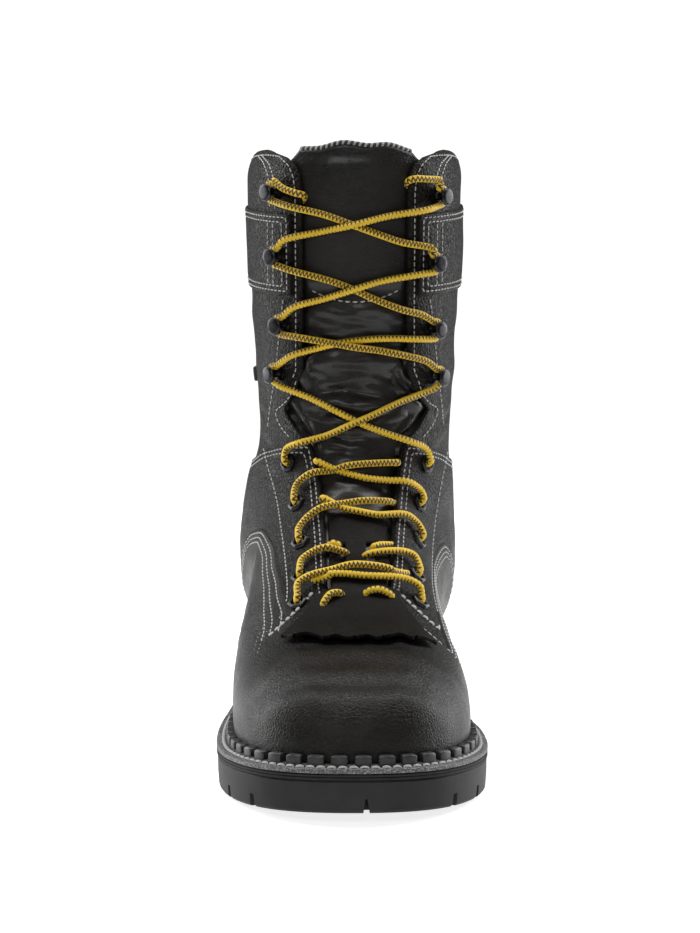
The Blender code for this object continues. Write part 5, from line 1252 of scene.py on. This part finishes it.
class Lacing:
    """Waypoints of the lace's visible runs and of what hides their ends."""

    def __init__(self, form):
        self.form = form
        self.eyelets, self.hooks = stud_places(EYELETS), stud_places(HOOKS)

    def point(self, x, z, height):
        spot, out = self.form.at(x, z)
        return spot + out * height

    def middle(self, z):
        return float(throat_middle(np.array([z]))[0])

    def half(self, z):
        return float(throat_half(np.array([z]))[0])

    def floor(self, z):
        kiltie = float(smooth((0.41 - z / COLLAR_HEIGHT) / 0.01)) * (KILTIE_THICK + 0.0002)
        rise = (TONGUE_DROP + VAMP_THICK + 0.0002) * float(kiltie_rise(z))
        return -TONGUE_DROP + LACE / 2 + 0.0002 + kiltie + rise

    def rest(self, x, z):
        """Height of a lace that lies on what is below it."""
        past = abs(x - self.middle(z)) - self.half(z)
        leather = QUARTER_THICK if z < 0.51 * COLLAR_HEIGHT else 0.0
        if past > 0.0035 and BAND_LOW - LACE < z < BAND_HIGH + LACE:
            leather = BAND_THICK
        facing = max(leather + LACE / 2 + 0.0004, self.floor(z) + 0.0002)
        return self.floor(z) + (facing - self.floor(z)) * float(smooth((past + 0.0060) / 0.0058))

    def beside(self, spot, across, up, height):
        point, out = self.form.at(*spot)
        sideways, upwards = frame_on(out)
        return point + sideways * across + upwards * up + out * height

    def from_eyelet(self, side, i, goal):
        spot = self.eyelets[i][side]
        way = Vector((goal[0] - spot[0], goal[1] - spot[1])).normalized()
        base = EYELET_BASE + 0.0011
        steps = ((-0.0006, base - 0.0052), (-0.0004, base - 0.0022), (0.0004, base + 0.0002), (0.0022, base + 0.0014))
        return [self.beside(spot, way.x * run, way.y * run, height) for run, height in steps]

    def round_hook(self, side, i, up):
        spot = self.hooks[i][side]
        out = -1 if side == 0 else 1
        height = hook_base(spot[1]) + 0.0012 + LACE / 2
        ring = 0.0019 + LACE / 2 + 0.0001
        steps = ((1.02, 0.10), (0.80, 0.66), (0.20, 1.02), (-0.55, 1.16))
        return [self.beside(spot, out * ring * a, up * ring * b, height) for a, b in steps]

    def under(self, last, sign):
        """On beneath the facing."""
        x, z = last
        edge = self.middle(z) + sign * self.half(z)
        return [self.point(edge - sign * 0.0006, z - 0.0002, self.floor(z) - 0.0006), self.point(edge + sign * 0.0042, z - 0.0006, self.floor(z) - 0.0024),
                self.point(edge + sign * 0.0068, z - 0.0008, self.floor(z) - 0.0028)]

    def slot(self, last, sign):
        """Down through the kiltie's upper slot."""
        x, z = last
        return [self.point(x + sign * 0.0027, z + 0.0003, self.floor(z) - 0.0012), self.point(x + sign * 0.0046, z + 0.0004, self.floor(z) - 0.0034)]

    def end(self, kind, at, goal):
        if kind[0] == "eyelet":
            return self.from_eyelet(kind[1], kind[2], goal)
        if kind[0] == "hook":
            return self.round_hook(kind[1], kind[2], kind[3])
        return (self.slot if kind[0] == "slot" else self.under)(at, kind[1])[::-1]

    def run(self, first, places, last, over):
        places = [(x / 1000, z / 1000) for x, z in places]
        middle = self.middle(places[0][1])
        body = []
        for x, z in places:
            crossing = math.exp(-(((x - middle) / 0.0075) ** 2))
            body.append(self.point(x, z, self.rest(x, z) + 0.0004 + (0.0026 * crossing if over else 0.0)))
        return self.end(first, places[0], places[0]) + body + self.end(last, places[-1], places[-1])[::-1]

    def bar(self, places):
        """The lowest run comes up through the kiltie's lower slots on each side of the middle."""
        (x0, z0), (x1, z1), (x2, z2) = ((x / 1000, z / 1000) for x, z in places)
        line = ((x0 * 1.25 - x1 * 0.25, z0 - 0.0008, -0.0036), (x0, z0, -0.0010), (x1, z1, 0.0006), (x2, z2, -0.0010), (x2 * 1.25 - x1 * 0.25, z2, -0.0036))
        return [self.point(x, z, self.floor(z) + high) for x, z, high in line]

    def tail(self, side, places):
        """Each end goes from the top hook over the collar's flap and down between it and the tongue."""
        over = [self.point(x / 1000, z / 1000, high) for (x, z), high in zip(places, (0.0030, 0.0026, 0.0012))]
        sign = -1 if side == 0 else 1
        x, z = places[-1][0] / 1000, places[-1][1] / 1000
        return self.round_hook(side, 3, 1) + over + [self.point(x - sign * 0.0022, z - 0.0010, -0.0010), self.point(x - sign * 0.0016, z - 0.0034, -0.0030),
                                                     self.point(x + sign * 0.0030, z - 0.0064, -0.0042)]


def build_lace(form, m):
    lacing = Lacing(form)
    paths = [lacing.run(*row) for row in RUNS] + [lacing.bar(places) for places in BARS]
    rows = [smooth_path(path, 0.00055) for path in paths]
    made = sweep("lace", rows, LACE / 2, m["lace"], 16, knobs=(0.0019, 4, 0.02))
    nodes = ["lace_row_2", "lace_row_4", "lace_row_5", "lace_row_3_lateral", "lace_row_3_medial", "lace_bar_lateral",
             "lace_bar_medial", "lace_row_6", "lace_row_7", "lace_row_8", "lace_row_9"]
    place(made, "yellow_lace", *nodes)
    for side, name in enumerate(("lateral", "medial")):
        path = smooth_path(lacing.tail(side, TAILS[side]), 0.00055)
        made = sweep("lace_tail_" + name, [path], LACE / 2, m["lace"], 16, knobs=(0.0019, 4, 0.02))
        place(made, "yellow_lace", "lace_end_" + name)


def weld(made, distance=0.000002):
    import bmesh

    bm = bmesh.new()
    bm.from_mesh(made.data)
    bmesh.ops.remove_doubles(bm, verts=bm.verts, dist=distance)
    bm.to_mesh(made.data)
    bm.free()
    return made


def loft(name, outline, layers, finish, sharp=35):
    """Solid through layers of an outline seen from above: each is (margin inwards, height as a function of y)."""
    rings = []
    for margin, height in layers:
        ring = inset(outline, margin)
        rings.append(np.column_stack([ring, height(ring[:, 1]) if callable(height) else np.full(len(ring), height)]))
    n = len(outline)
    k = np.arange(n)
    faces = []
    for i in range(len(rings) - 1):
        faces.append(np.column_stack([i * n + k, i * n + (k + 1) % n, (i + 1) * n + (k + 1) % n, (i + 1) * n + k]))
    side = n // 2
    left, right = np.arange(side), (n - np.arange(side)) % n
    caps = []
    for base, flip in ((0, True), ((len(rings) - 1) * n, False)):
        for i in range(side):
            a, b = i, i + 1
            c, d = (n - a) % n, (n - b) % n
            face = [base + a, base + b] + ([base + d] if d != b else []) + ([base + c] if c != a else [])
            if len(set(face)) > 2:
                caps.append(face if flip else face[::-1])
    made = make_mesh(name, np.vstack(rings), np.vstack(faces).tolist() + caps, finish, sharp=sharp)
    import bmesh

    bm = bmesh.new()
    bm.from_mesh(made.data)
    bmesh.ops.recalc_face_normals(bm, faces=bm.faces)
    bm.to_mesh(made.data)
    bm.free()
    return made


def plate_top(y):
    return seat_z(y) - WELT - MIDSOLE


def outsole_foot(y):
    s = station_of(y)
    waist = plate_top(y) - WAIST_PLATE
    return waist + (spring_z(s) - waist) * smooth((s - 0.430) / (0.505 - 0.430))


def bar(start, end, half, flare=0.0):
    a, b = np.array(start, float), np.array(end, float)
    along = (b - a) / np.linalg.norm(b - a)
    side = np.array([-along[1], along[0]])
    return [tuple(a - side * half), tuple(b - side * (half + flare)), tuple(b + side * (half + flare)), tuple(a + side * half)]


def groove(points, faces, corners, roof, pinch=0.7):
    """Cutter for a tread groove: a strip that narrows towards its roof."""
    corners = np.array(corners)
    middle = (corners + corners[::-1]) / 2
    n = len(points)
    for x, y in corners:
        points.append((x, y, -0.010))
    for x, y in middle + (corners - middle) * pinch:
        points.append((x, y, float(roof(y))))
    faces += [(n, n + 1, n + 2, n + 3), (n + 7, n + 6, n + 5, n + 4)]
    faces += [(n + i, n + 4 + i, n + 4 + (i + 1) % 4, n + (i + 1) % 4) for i in range(4)]


def carve(made, points, faces, name):
    mesh = bpy.data.meshes.new(name)
    mesh.from_pydata(points, [], faces)
    import bmesh

    bm = bmesh.new()
    bm.from_mesh(mesh)
    bmesh.ops.recalc_face_normals(bm, faces=bm.faces)
    bm.to_mesh(mesh)
    bm.free()
    cutter = bpy.data.objects.new(name, mesh)
    bpy.context.scene.collection.objects.link(cutter)
    boolean = made.modifiers.new(name, "BOOLEAN")
    boolean.solver, boolean.operation, boolean.object = "EXACT", "DIFFERENCE", cutter
    boolean.use_self = True
    return cutter


def settle(made, cutters, bevel=0.0004):
    """Applies the modifiers, drops the cutters and rounds the sharp edges a little."""
    edge = made.modifiers.new("Edge", "BEVEL")
    edge.width, edge.segments, edge.limit_method, edge.angle_limit = bevel, 2, "ANGLE", math.radians(38)
    edge.use_clamp_overlap = True
    bpy.context.view_layer.update()
    mesh = bpy.data.meshes.new_from_object(made.evaluated_get(bpy.context.evaluated_depsgraph_get()))
    made.modifiers.clear()
    made.data = mesh
    for cutter in cutters:
        bpy.data.objects.remove(cutter)
    mesh.shade_smooth()
    mesh.set_sharp_from_angle(angle=math.radians(32))


NOTCHES = ((-0.455, 0.012), (-0.530, 0.010), (-0.605, 0.006), (-0.680, -0.004), (-0.755, -0.016), (-0.820, -0.030))


def span(outline, y):
    lateral, medial = half_spans(sides_of(outline), y)
    return float(lateral), float(medial)


def build_sole(form, m):
    outline = sole_outline(200)
    roof = lambda y: float(spring_z(station_of(y))) + LUG_DEPTH
    top = lambda y: plate_top(y) - 0.0001
    depth = lambda share: lambda y: plate_top(y) + (outsole_foot(y) - plate_top(y)) * share
    made = loft("outsole_tread", outline, [(0.0010, top), (0.0005, depth(0.06)), (0.0006, depth(0.55)), (0.0010, depth(0.93)), (0.0018, outsole_foot)], m["rubber"])
    points, faces = [], []
    for y, lead in NOTCHES:
        left, right = span(outline, y * LENGTH)
        for x, sign in ((left, -1), (right, 1)):
            inner = (x - sign * 0.22 * BALL_WIDTH, (y - lead) * LENGTH)
            outer = (x + sign * 0.02, (y + lead * 0.02 / (0.22 * BALL_WIDTH)) * LENGTH)
            groove(points, faces, bar(inner, outer, 0.0024, 0.0004), roof, 0.5)
    toe = sides_of(outline)[0][0]
    toe_x = toe[1] + 0.0055
    cutters = [carve(made, points, faces, "edge_cutter")]
    points, faces = [], []
    groove(points, faces, bar((toe_x, toe[0] + 0.011), (toe_x, toe[0] - 0.01), 0.0032, 0.0006), lambda y: roof(y) + 0.0006, 0.12)
    cutters.append(carve(made, points, faces, "toe_cutter"))
    points, faces = [], []
    for i, y in enumerate((-0.50, -0.575, -0.65, -0.725, -0.795)):
        left, right = span(outline, y * LENGTH)
        centre, reach = (left + right) / 2, (right - left) / 2 - 0.290 * BALL_WIDTH
        kink = 0.0045
        for sign in (-1, 1):
            groove(points, faces, bar((centre + sign * 0.0004, y * LENGTH - kink), (centre + sign * reach, y * LENGTH + kink * 0.4), 0.0022), roof)
    cutters.append(carve(made, points[:], faces[:], "middle_cutter"))
    settle(made, cutters)
    place(made, "black_rubber", "outsole")
    build_heel(outline, m)
    edge = [(0.0008, lambda y: seat_z(y) - WELT), (0.0001, lambda y: seat_z(y) - WELT - 0.0005), (0.0002, lambda y: seat_z(y) - WELT - 0.0011),
            (0.0005, lambda y: seat_z(y) - WELT - 0.0014), (0.0001, lambda y: seat_z(y) - WELT - 0.0017), (0.0001, lambda y: plate_top(y) + 0.0005), (0.0007, lambda y: plate_top(y))]
    place(loft("midsole_edge", outline, edge, m["midsole"]), "grey_midsole", "midsole")
    build_welt(outline, m)
    ring, normals = form.points[0], form.normals[0]
    step = 2
    flat = normals[::step, :2] / np.linalg.norm(normals[::step, :2], axis=1)[:, None]
    footbed = ring[::step, :2] - flat * (WALL + 0.0004)
    low = lambda y: seat_z(y) + 0.0003
    high = lambda y: seat_z(y) + 0.0003 + INSOLE
    order = np.roll(footbed, -int(np.argmax(footbed[:, 1])), axis=0)
    made = loft("footbed", order, [(0.0, low), (0.0, lambda y: high(y) - 0.0008), (0.0009, high)], m["footbed"])
    place(made, "footbed_fabric", "insole")


def build_heel(outline, m):
    breast = HEEL_BACK - HEEL_LENGTH
    lateral, medial = sides_of(inset(outline, 0.0010))
    ys = breast + (lateral[-1, 0] - breast) * np.sin(np.linspace(0, math.pi / 2, 40))
    left = np.column_stack([np.interp(ys, lateral[:, 0], lateral[:, 1]), ys])
    right = np.column_stack([np.interp(ys, medial[:, 0], medial[:, 1]), ys])
    loop = np.vstack([left, right[-2::-1]])
    top = float(plate_top(0.0)) - WAIST_PLATE
    rings = []
    for share, tuck in ((0.0, 0.0), (0.03, 0.0), (0.33, 0.0004), (0.345, 0.0009), (0.36, 0.0004), (0.64, 0.0006), (0.655, 0.0011), (0.67, 0.0006), (0.97, 0.0008), (1.0, 0.0016)):
        back = (loop[:, 1] - breast) / HEEL_LENGTH
        x = loop[:, 0] * (1 - (HEEL_TAPER * share + tuck) / 0.041)
        y = loop[:, 1] - (HEEL_UNDERCUT * back - 0.004 * (1 - back)) * share - tuck * (back * 2 - 1)
        rings.append(np.column_stack([x, y, np.full(len(x), top * (1 - share))]))
    n = len(loop)
    k = np.arange(n)
    faces = [np.column_stack([i * n + k, i * n + (k + 1) % n, (i + 1) * n + (k + 1) % n, (i + 1) * n + k]) for i in range(len(rings) - 1)]
    caps = []
    for base in (0, (len(rings) - 1) * n):
        for i in range(n // 2):
            face = [base + i, base + i + 1, base + n - 2 - i, base + n - 1 - i]
            caps.append(list(dict.fromkeys(face)))
    made = make_mesh("heel_block", np.vstack(rings), np.vstack(faces).tolist() + [face for face in caps if len(face) > 2], m["rubber"])
    import bmesh

    bm = bmesh.new()
    bm.from_mesh(made.data)
    bmesh.ops.recalc_face_normals(bm, faces=bm.faces)
    bm.to_mesh(made.data)
    bm.free()
    points, faces = [], []
    roof = lambda y: LUG_DEPTH
    for y in (0.012, -0.006, -0.024):
        left, right = span(outline, y)
        for x, sign in ((left, -1), (right, 1)):
            groove(points, faces, bar((x - sign * 0.022, y - 0.003), (x + sign * 0.02, y + 0.003), 0.0021, 0.0003), roof)
    for x in (-0.011, 0.011):
        groove(points, faces, bar((x * 0.6, 0.014), (x * 1.35, 0.060), 0.0021, 0.0003), roof)
    groove(points, faces, bar((0.0, -0.0175), (0.0, -0.060), 0.0021, 0.0003), roof)
    settle(made, [carve(made, points, faces, "heel_cutter")])
    place(made, "black_rubber", "heel")


def build_welt(outline, m):
    hump = lambda y: 0.0007 * smooth((station_of(y) - 0.15) / 0.1) * smooth((0.62 - station_of(y)) / 0.1)
    top = lambda y: seat_z(y) - 0.0004 - hump(y)
    layers = [(0.0075, lambda y: top(y) - 0.0001), (0.0044, top), (0.0034, lambda y: top(y) - 0.0001), (0.0030, lambda y: top(y) - 0.0006), (0.0026, lambda y: top(y) - 0.0001),
              (0.0012, lambda y: top(y) + 0.0001), (0.0003, lambda y: top(y) - 0.0003), (0.0, lambda y: top(y) - 0.0009), (0.0001, lambda y: seat_z(y) - WELT + 0.0003), (0.0008, lambda y: seat_z(y) - WELT)]
    strip = loft("welt_strip", outline, layers, m["welt"])
    place(strip, "grey_welt", "welt")
    line = inset(outline, 0.0031)
    heights = top(line[:, 1]) - 0.0001
    path = np.column_stack([line, heights, np.zeros(len(line)), np.zeros(len(line)), np.ones(len(line))])
    stitch([np.vstack([path, path[:1]])], 0.0005, pitch=0.0046, wide=0.00085, fill=0.86, into=WELT_STITCH)
    back = smooth((0.66 - station_of(outline[:, 1])) / 0.14)
    ridge = inset(outline, 0.0050 - 0.0020 * back)
    inner = inset(outline, 0.0082 - 0.0020 * back)
    run = np.concatenate([[0], np.cumsum(np.linalg.norm(np.diff(ridge, axis=0), axis=1))])
    keep = ridge[:, 1] < -0.36 * LENGTH
    first, last = run[keep][0], run[keep][-1]
    count = 38
    pitch = (last - first) / count
    points, faces = [], []
    for i in range(count):
        rows = []
        for along in (-0.345, -0.325, -0.27, 0.0, 0.27, 0.325, 0.345):
            t = first + pitch * (i + 0.5 + along)
            a = np.array([np.interp(t, run, column) for column in ridge.T])
            b = np.array([np.interp(t, run, column) for column in inner.T])
            across = b - a
            ease = 1 - (abs(along) / 0.345) ** 8
            base = float(seat_z(a[1])) - 0.0010
            tall = 0.0055 * (0.90 + 0.10 * ease)
            section = []
            for share, high in ((-0.20, 0.0), (-0.20, 0.74), (-0.15, 0.90), (-0.04, 0.98), (0.35, 1.0), (0.78, 1.0), (1.05, 0.95), (1.05, 0.0)):
                squeeze = 0.5 + (share - 0.5) * (0.82 + 0.18 * ease)
                spot = a + across * squeeze
                section.append((spot[0], spot[1], base + tall * high))
            rows.append(section)
        n, start = len(rows[0]), len(points)
        for section in rows:
            points += section
        for r in range(len(rows) - 1):
            for k in range(n):
                j = (k + 1) % n
                faces.append((start + r * n + k, start + r * n + j, start + (r + 1) * n + j, start + (r + 1) * n + k))
        faces.append(tuple(start + k for k in range(n))[::-1])
        faces.append(tuple(start + (len(rows) - 1) * n + k for k in range(n)))
    ribs = make_mesh("storm_rib_blocks", points, faces, m["rib"], sharp=45)
    place(ribs, "grey_welt")
    low = [(0.0046, lambda y: seat_z(y) - 0.0012), (0.0046, lambda y: seat_z(y) + 0.0002 - hump(y)), (0.0054, lambda y: seat_z(y) + 0.0008 - hump(y)),
           (0.0075, lambda y: seat_z(y) + 0.0010 - hump(y)), (0.0095, lambda y: seat_z(y) + 0.0008 - hump(y)), (0.0095, lambda y: seat_z(y) - 0.0012)]
    shift = 0.0026 * smooth((0.62 - station_of(outline[:, 1])) / 0.14) + 0.0005
    base = inset(outline, -shift)
    place(loft("storm_rib_base", base, low, m["rib"]), "grey_welt")
    return strip


WELT_STITCH = []


# Seams. Rows that follow no edge are drawn through places on the form, x and height in millimetres.
DIAGONALS = (((-18.6, 75.6), (-24.6, 69.9), (-31.0, 64.6), (-37.4, 59.4)), ((17.6, 76.0), (25.4, 69.4), (33.3, 62.6), (37.6, 58.9)))
FOOT_ROWS = (
    ((-37.6, 61.4), (-40.2, 57.6), (-42.0, 53.4)), ((-39.4, 62.0), (-42.0, 58.0), (-43.6, 53.6)),
)
NOTCH_ROWS = (
    ((-33.4, 201.0), (-35.4, 186.0), (-36.8, 171.0), (-38.6, 158.0), (-40.4, 147.0), (-41.4, 138.0)),
    ((35.0, 201.0), (37.0, 186.0), (38.4, 171.0), (40.0, 158.0), (41.4, 147.0), (42.2, 138.0)),
    ((-27.4, 163.0), (-29.6, 157.0), (-33.0, 151.6), (-37.2, 147.0), (-36.2, 142.0), (-33.2, 138.2), (-30.6, 135.9)),
    ((29.6, 163.0), (31.4, 157.0), (34.6, 151.6), (38.9, 147.6), (37.8, 142.0), (34.6, 137.8), (31.9, 135.3)),
)
QUARTER_ROWS = (
    ((-42.4, 127.5), (-39.8, 120.0), (-35.8, 108.1), (-32.6, 93.7), (-30.2, 80.0), (-30.0, 72.8), (-31.8, 67.5), (-34.6, 63.6)),
    ((43.2, 125.0), (41.2, 117.4), (38.5, 105.0), (35.8, 89.5), (34.4, 76.0), (34.8, 69.5), (36.8, 62.4)),
)


def drawn(form, table):
    """A row of points with normals along a smooth line on the front of the form."""
    path = smooth_path([Vector((x / 1000, 0.0, z / 1000)) for x, z in table], 0.0015)
    return np.array([[*point, *out] for point, out in (form.at(x, z) for x, _, z in path)])


def sew(form, skin, fine, m):
    a, t = skin
    band = lambda a: np.minimum(np.minimum(a[:, 2] - BAND_LOW, BAND_HIGH - a[:, 2]), outside_throat(a) - 0.0045)
    for level in (0.0018, 0.0040):
        stitch(seam_lines(a, t, band, level), 0.00145)
    above = lambda a: np.where((a[:, 2] > 0.606 * COLLAR_HEIGHT) & (a[:, 1] < -0.02), 1, -1)
    stitch(seam_lines(a, t, outside_throat, 0.0030, lambda a: np.minimum(above(a), below_collar(a) - 0.0028)), 0.00012)
    upper_part = lambda a: np.where((a[:, 2] > BAND_HIGH + 0.001) & (a[:, 1] < -0.02), 1, -1)
    stitch(seam_lines(a, t, below_collar, 0.0030, lambda a: np.where(outside_throat(a) > 0.0030, 1, -1)), 0.00012)
    for level in (0.0125, 0.0150):
        stitch(seam_lines(a, t, outside_throat, level, lambda a: np.minimum(upper_part(a), below_collar(a) - 0.0030)), 0.00012)
    for level in (0.0125, 0.0150):
        inside_band = lambda a: np.where((a[:, 2] > BAND_LOW + 0.004) & (a[:, 2] < BAND_HIGH - 0.004) & (a[:, 1] < -0.02), 1, -1)
        stitch(seam_lines(a, t, outside_throat, level, inside_band), 0.00150)
    off_vamp = lambda a: np.where((in_vamp(a) < -0.002) & (in_counter(a) < -0.002) & (on_backstay(a) < -0.002), 1, -1)
    quarter = lambda a: np.minimum(under_quarter_top(a), outside_throat(a))
    for level in (0.0020, 0.0043):
        stitch(seam_lines(a, t, quarter, level, lambda a: np.minimum(off_vamp(a), np.where(a[:, 2] < 0.512 * COLLAR_HEIGHT, 1, -1))), 0.00135)
    on_side_wing = lambda a: np.where((a[:, 2] > seat_z(a[:, 1]) + 0.001) & (a[:, 2] < 0.36 * COLLAR_HEIGHT) & (a[:, 1] > -0.590 * LENGTH) & (outside_throat(a) > 0.004), 1, -1)
    for level in (0.0021, 0.0043, 0.0065):
        stitch(seam_lines(a, t, in_vamp, level, on_side_wing), 0.0018)
    for line in DIAGONALS:
        stitch([drawn(form, line)], 0.0017, pitch=0.0036, wide=0.00075, fill=0.84)
    for line in FOOT_ROWS:
        stitch([drawn(form, line)], 0.0015)
    for line in NOTCH_ROWS:
        stitch([drawn(form, line)], 0.00012)
    for line in QUARTER_ROWS:
        stitch([drawn(form, line)], 0.00145)
    heel = lambda a: np.where(a[:, 2] > seat_z(a[:, 1]) + 0.001, 1, -1)
    for level in (0.0021, 0.0043):
        stitch(seam_lines(a, t, in_counter, level, heel), 0.0018)
    strip = lambda a: np.where((a[:, 2] < BAND_LOW) & (in_counter(a) < -0.003), 1, -1)
    stitch(seam_lines(a, t, on_backstay, 0.0020, strip), 0.0013)
    a, t = fine
    low_edge = lambda x: 0.2058 - 0.0054 * (1 - (x / 0.0225) ** 2)
    dash = lambda a: a[:, 2] - low_edge(a[:, 0])
    inside = lambda a: np.where((np.abs(a[:, 0]) < 0.0222) & (a[:, 1] < -0.05), 1, -1)
    stitch(seam_lines(a, t, dash, 0.0, inside), lambda p: tongue_height(p) + 0.0001, pitch=0.0036, wide=0.0004, fill=0.66)


def tongue_height(points):
    return -TONGUE_DROP + tongue_swell(points)


def build_side_tab(form, m):
    """Small folded tab of woven tape sewn to the lateral side."""
    a, t = skin_of(form)
    near = (a[t, 0].max(1) < 0) & (np.abs(a[t, 1] + 0.114 * LENGTH).max(1) < 0.012) & (np.abs(a[t, 2] - 0.592 * COLLAR_HEIGHT).max(1) < 0.012)
    a, t = refine(*pack_points(a, t[near]))
    box = lambda a: np.minimum(0.0028 - np.abs(a[:, 1] + 0.114 * LENGTH), 0.0034 - np.abs(a[:, 2] - 0.592 * COLLAR_HEIGHT))
    made = panel("side_tab_tape", m["footbed"], a, t, [box], 0.0, 0.0017, edge=0.0006)
    place(made, "black_leather", "side_tab")


# Stage: pale floor, soft lights and the photograph's camera
def area(name, place_at, target, size, power, colour=(1, 1, 1)):
    data = bpy.data.lights.new(name, "AREA")
    data.shape, data.size, data.size_y, data.energy, data.color = "RECTANGLE", size[0], size[1], power, colour
    made = bpy.data.objects.new(name, data)
    made.location = place_at
    made.rotation_euler = (Vector(target) - Vector(place_at)).to_track_quat("-Z", "Y").to_euler()
    bpy.context.scene.collection.objects.link(made)


def build_stage():
    paper = Nodes("floor_paper", (0.60, 0.60, 0.60), 0.95)
    paper.shader.inputs["Emission Color"].default_value = (1, 1, 1, 1)
    paper.shader.inputs["Emission Strength"].default_value = 0.80
    corners = [(-0.42, -0.62, 0), (0.42, -0.62, 0), (0.42, 0.55, 0), (-0.42, 0.55, 0)]
    floor = make_mesh("floor", corners, [(0, 1, 2, 3)], paper.material, sharp=0)
    floor.location.z = -0.0004
    world = bpy.data.worlds.new("studio")
    bpy.context.scene.world = world
    world.use_nodes = True
    tree = world.node_tree
    plain = tree.nodes["Background"]
    plain.inputs["Color"].default_value = (1, 1, 1, 1)
    plain.inputs["Strength"].default_value = 0.12
    seen = tree.nodes.new("ShaderNodeBackground")
    seen.inputs["Strength"].default_value = 1.1
    rays, mix = tree.nodes.new("ShaderNodeLightPath"), tree.nodes.new("ShaderNodeMixShader")
    tree.links.new(rays.outputs["Is Camera Ray"], mix.inputs[0])
    tree.links.new(plain.outputs[0], mix.inputs[1])
    tree.links.new(seen.outputs[0], mix.inputs[2])
    tree.links.new(mix.outputs[0], tree.nodes["World Output"].inputs["Surface"])
    seen.inputs["Color"].default_value = (1, 1, 1, 1)
    for side in (-1, 1):
        name = "left" if side < 0 else "right"
        area(name + "_top_box", (side * 0.55, 0.10, 1.30), (side * 0.05, -0.05, 0.0), (0.5, 1.4), 13.0)
        area(name + "_side_box", (side * 1.00, 0.45, 0.35), (0, -0.02, 0.16), (0.6, 0.9), 9.5)
    area("front_box", (-0.35, -1.70, 1.10), (0, -0.08, 0.14), (0.9, 0.5), 7.5)
    data = bpy.data.cameras.new("camera")
    data.sensor_fit, data.sensor_height, data.lens = "VERTICAL", 24.0, 3100.0 / 933.0 * 24.0
    data.shift_x = -5.0 / 933.0
    data.clip_start, data.clip_end = 0.05, 20.0
    camera = bpy.data.objects.new("camera", data)
    camera.location = (0, -1.53, 0.34)
    camera.rotation_euler = (math.radians(90 - 8.6), 0, 0)
    bpy.context.scene.collection.objects.link(camera)
    bpy.context.scene.camera = camera
    bpy.context.scene.view_settings.view_transform = "Standard"


def main():
    m = make_materials()
    build_stage()
    form = Form()
    form.relieve(leather_relief)
    skin = skin_of(form)
    build_upper(form, skin, m)
    _, fine = build_tongue(form, skin, m)
    build_kiltie(form, fine, m)
    build_side_tab(form, m)
    build_hardware(form, m)
    build_lace(form, m)
    build_sole(form, m)
    sew(form, skin, fine, m)
    build_stitches("seam_stitches", STITCH, m["white_thread"], "grained_leather")
    build_stitches("welt_lockstitch", WELT_STITCH, m["grey_thread"], "grey_welt")


main()
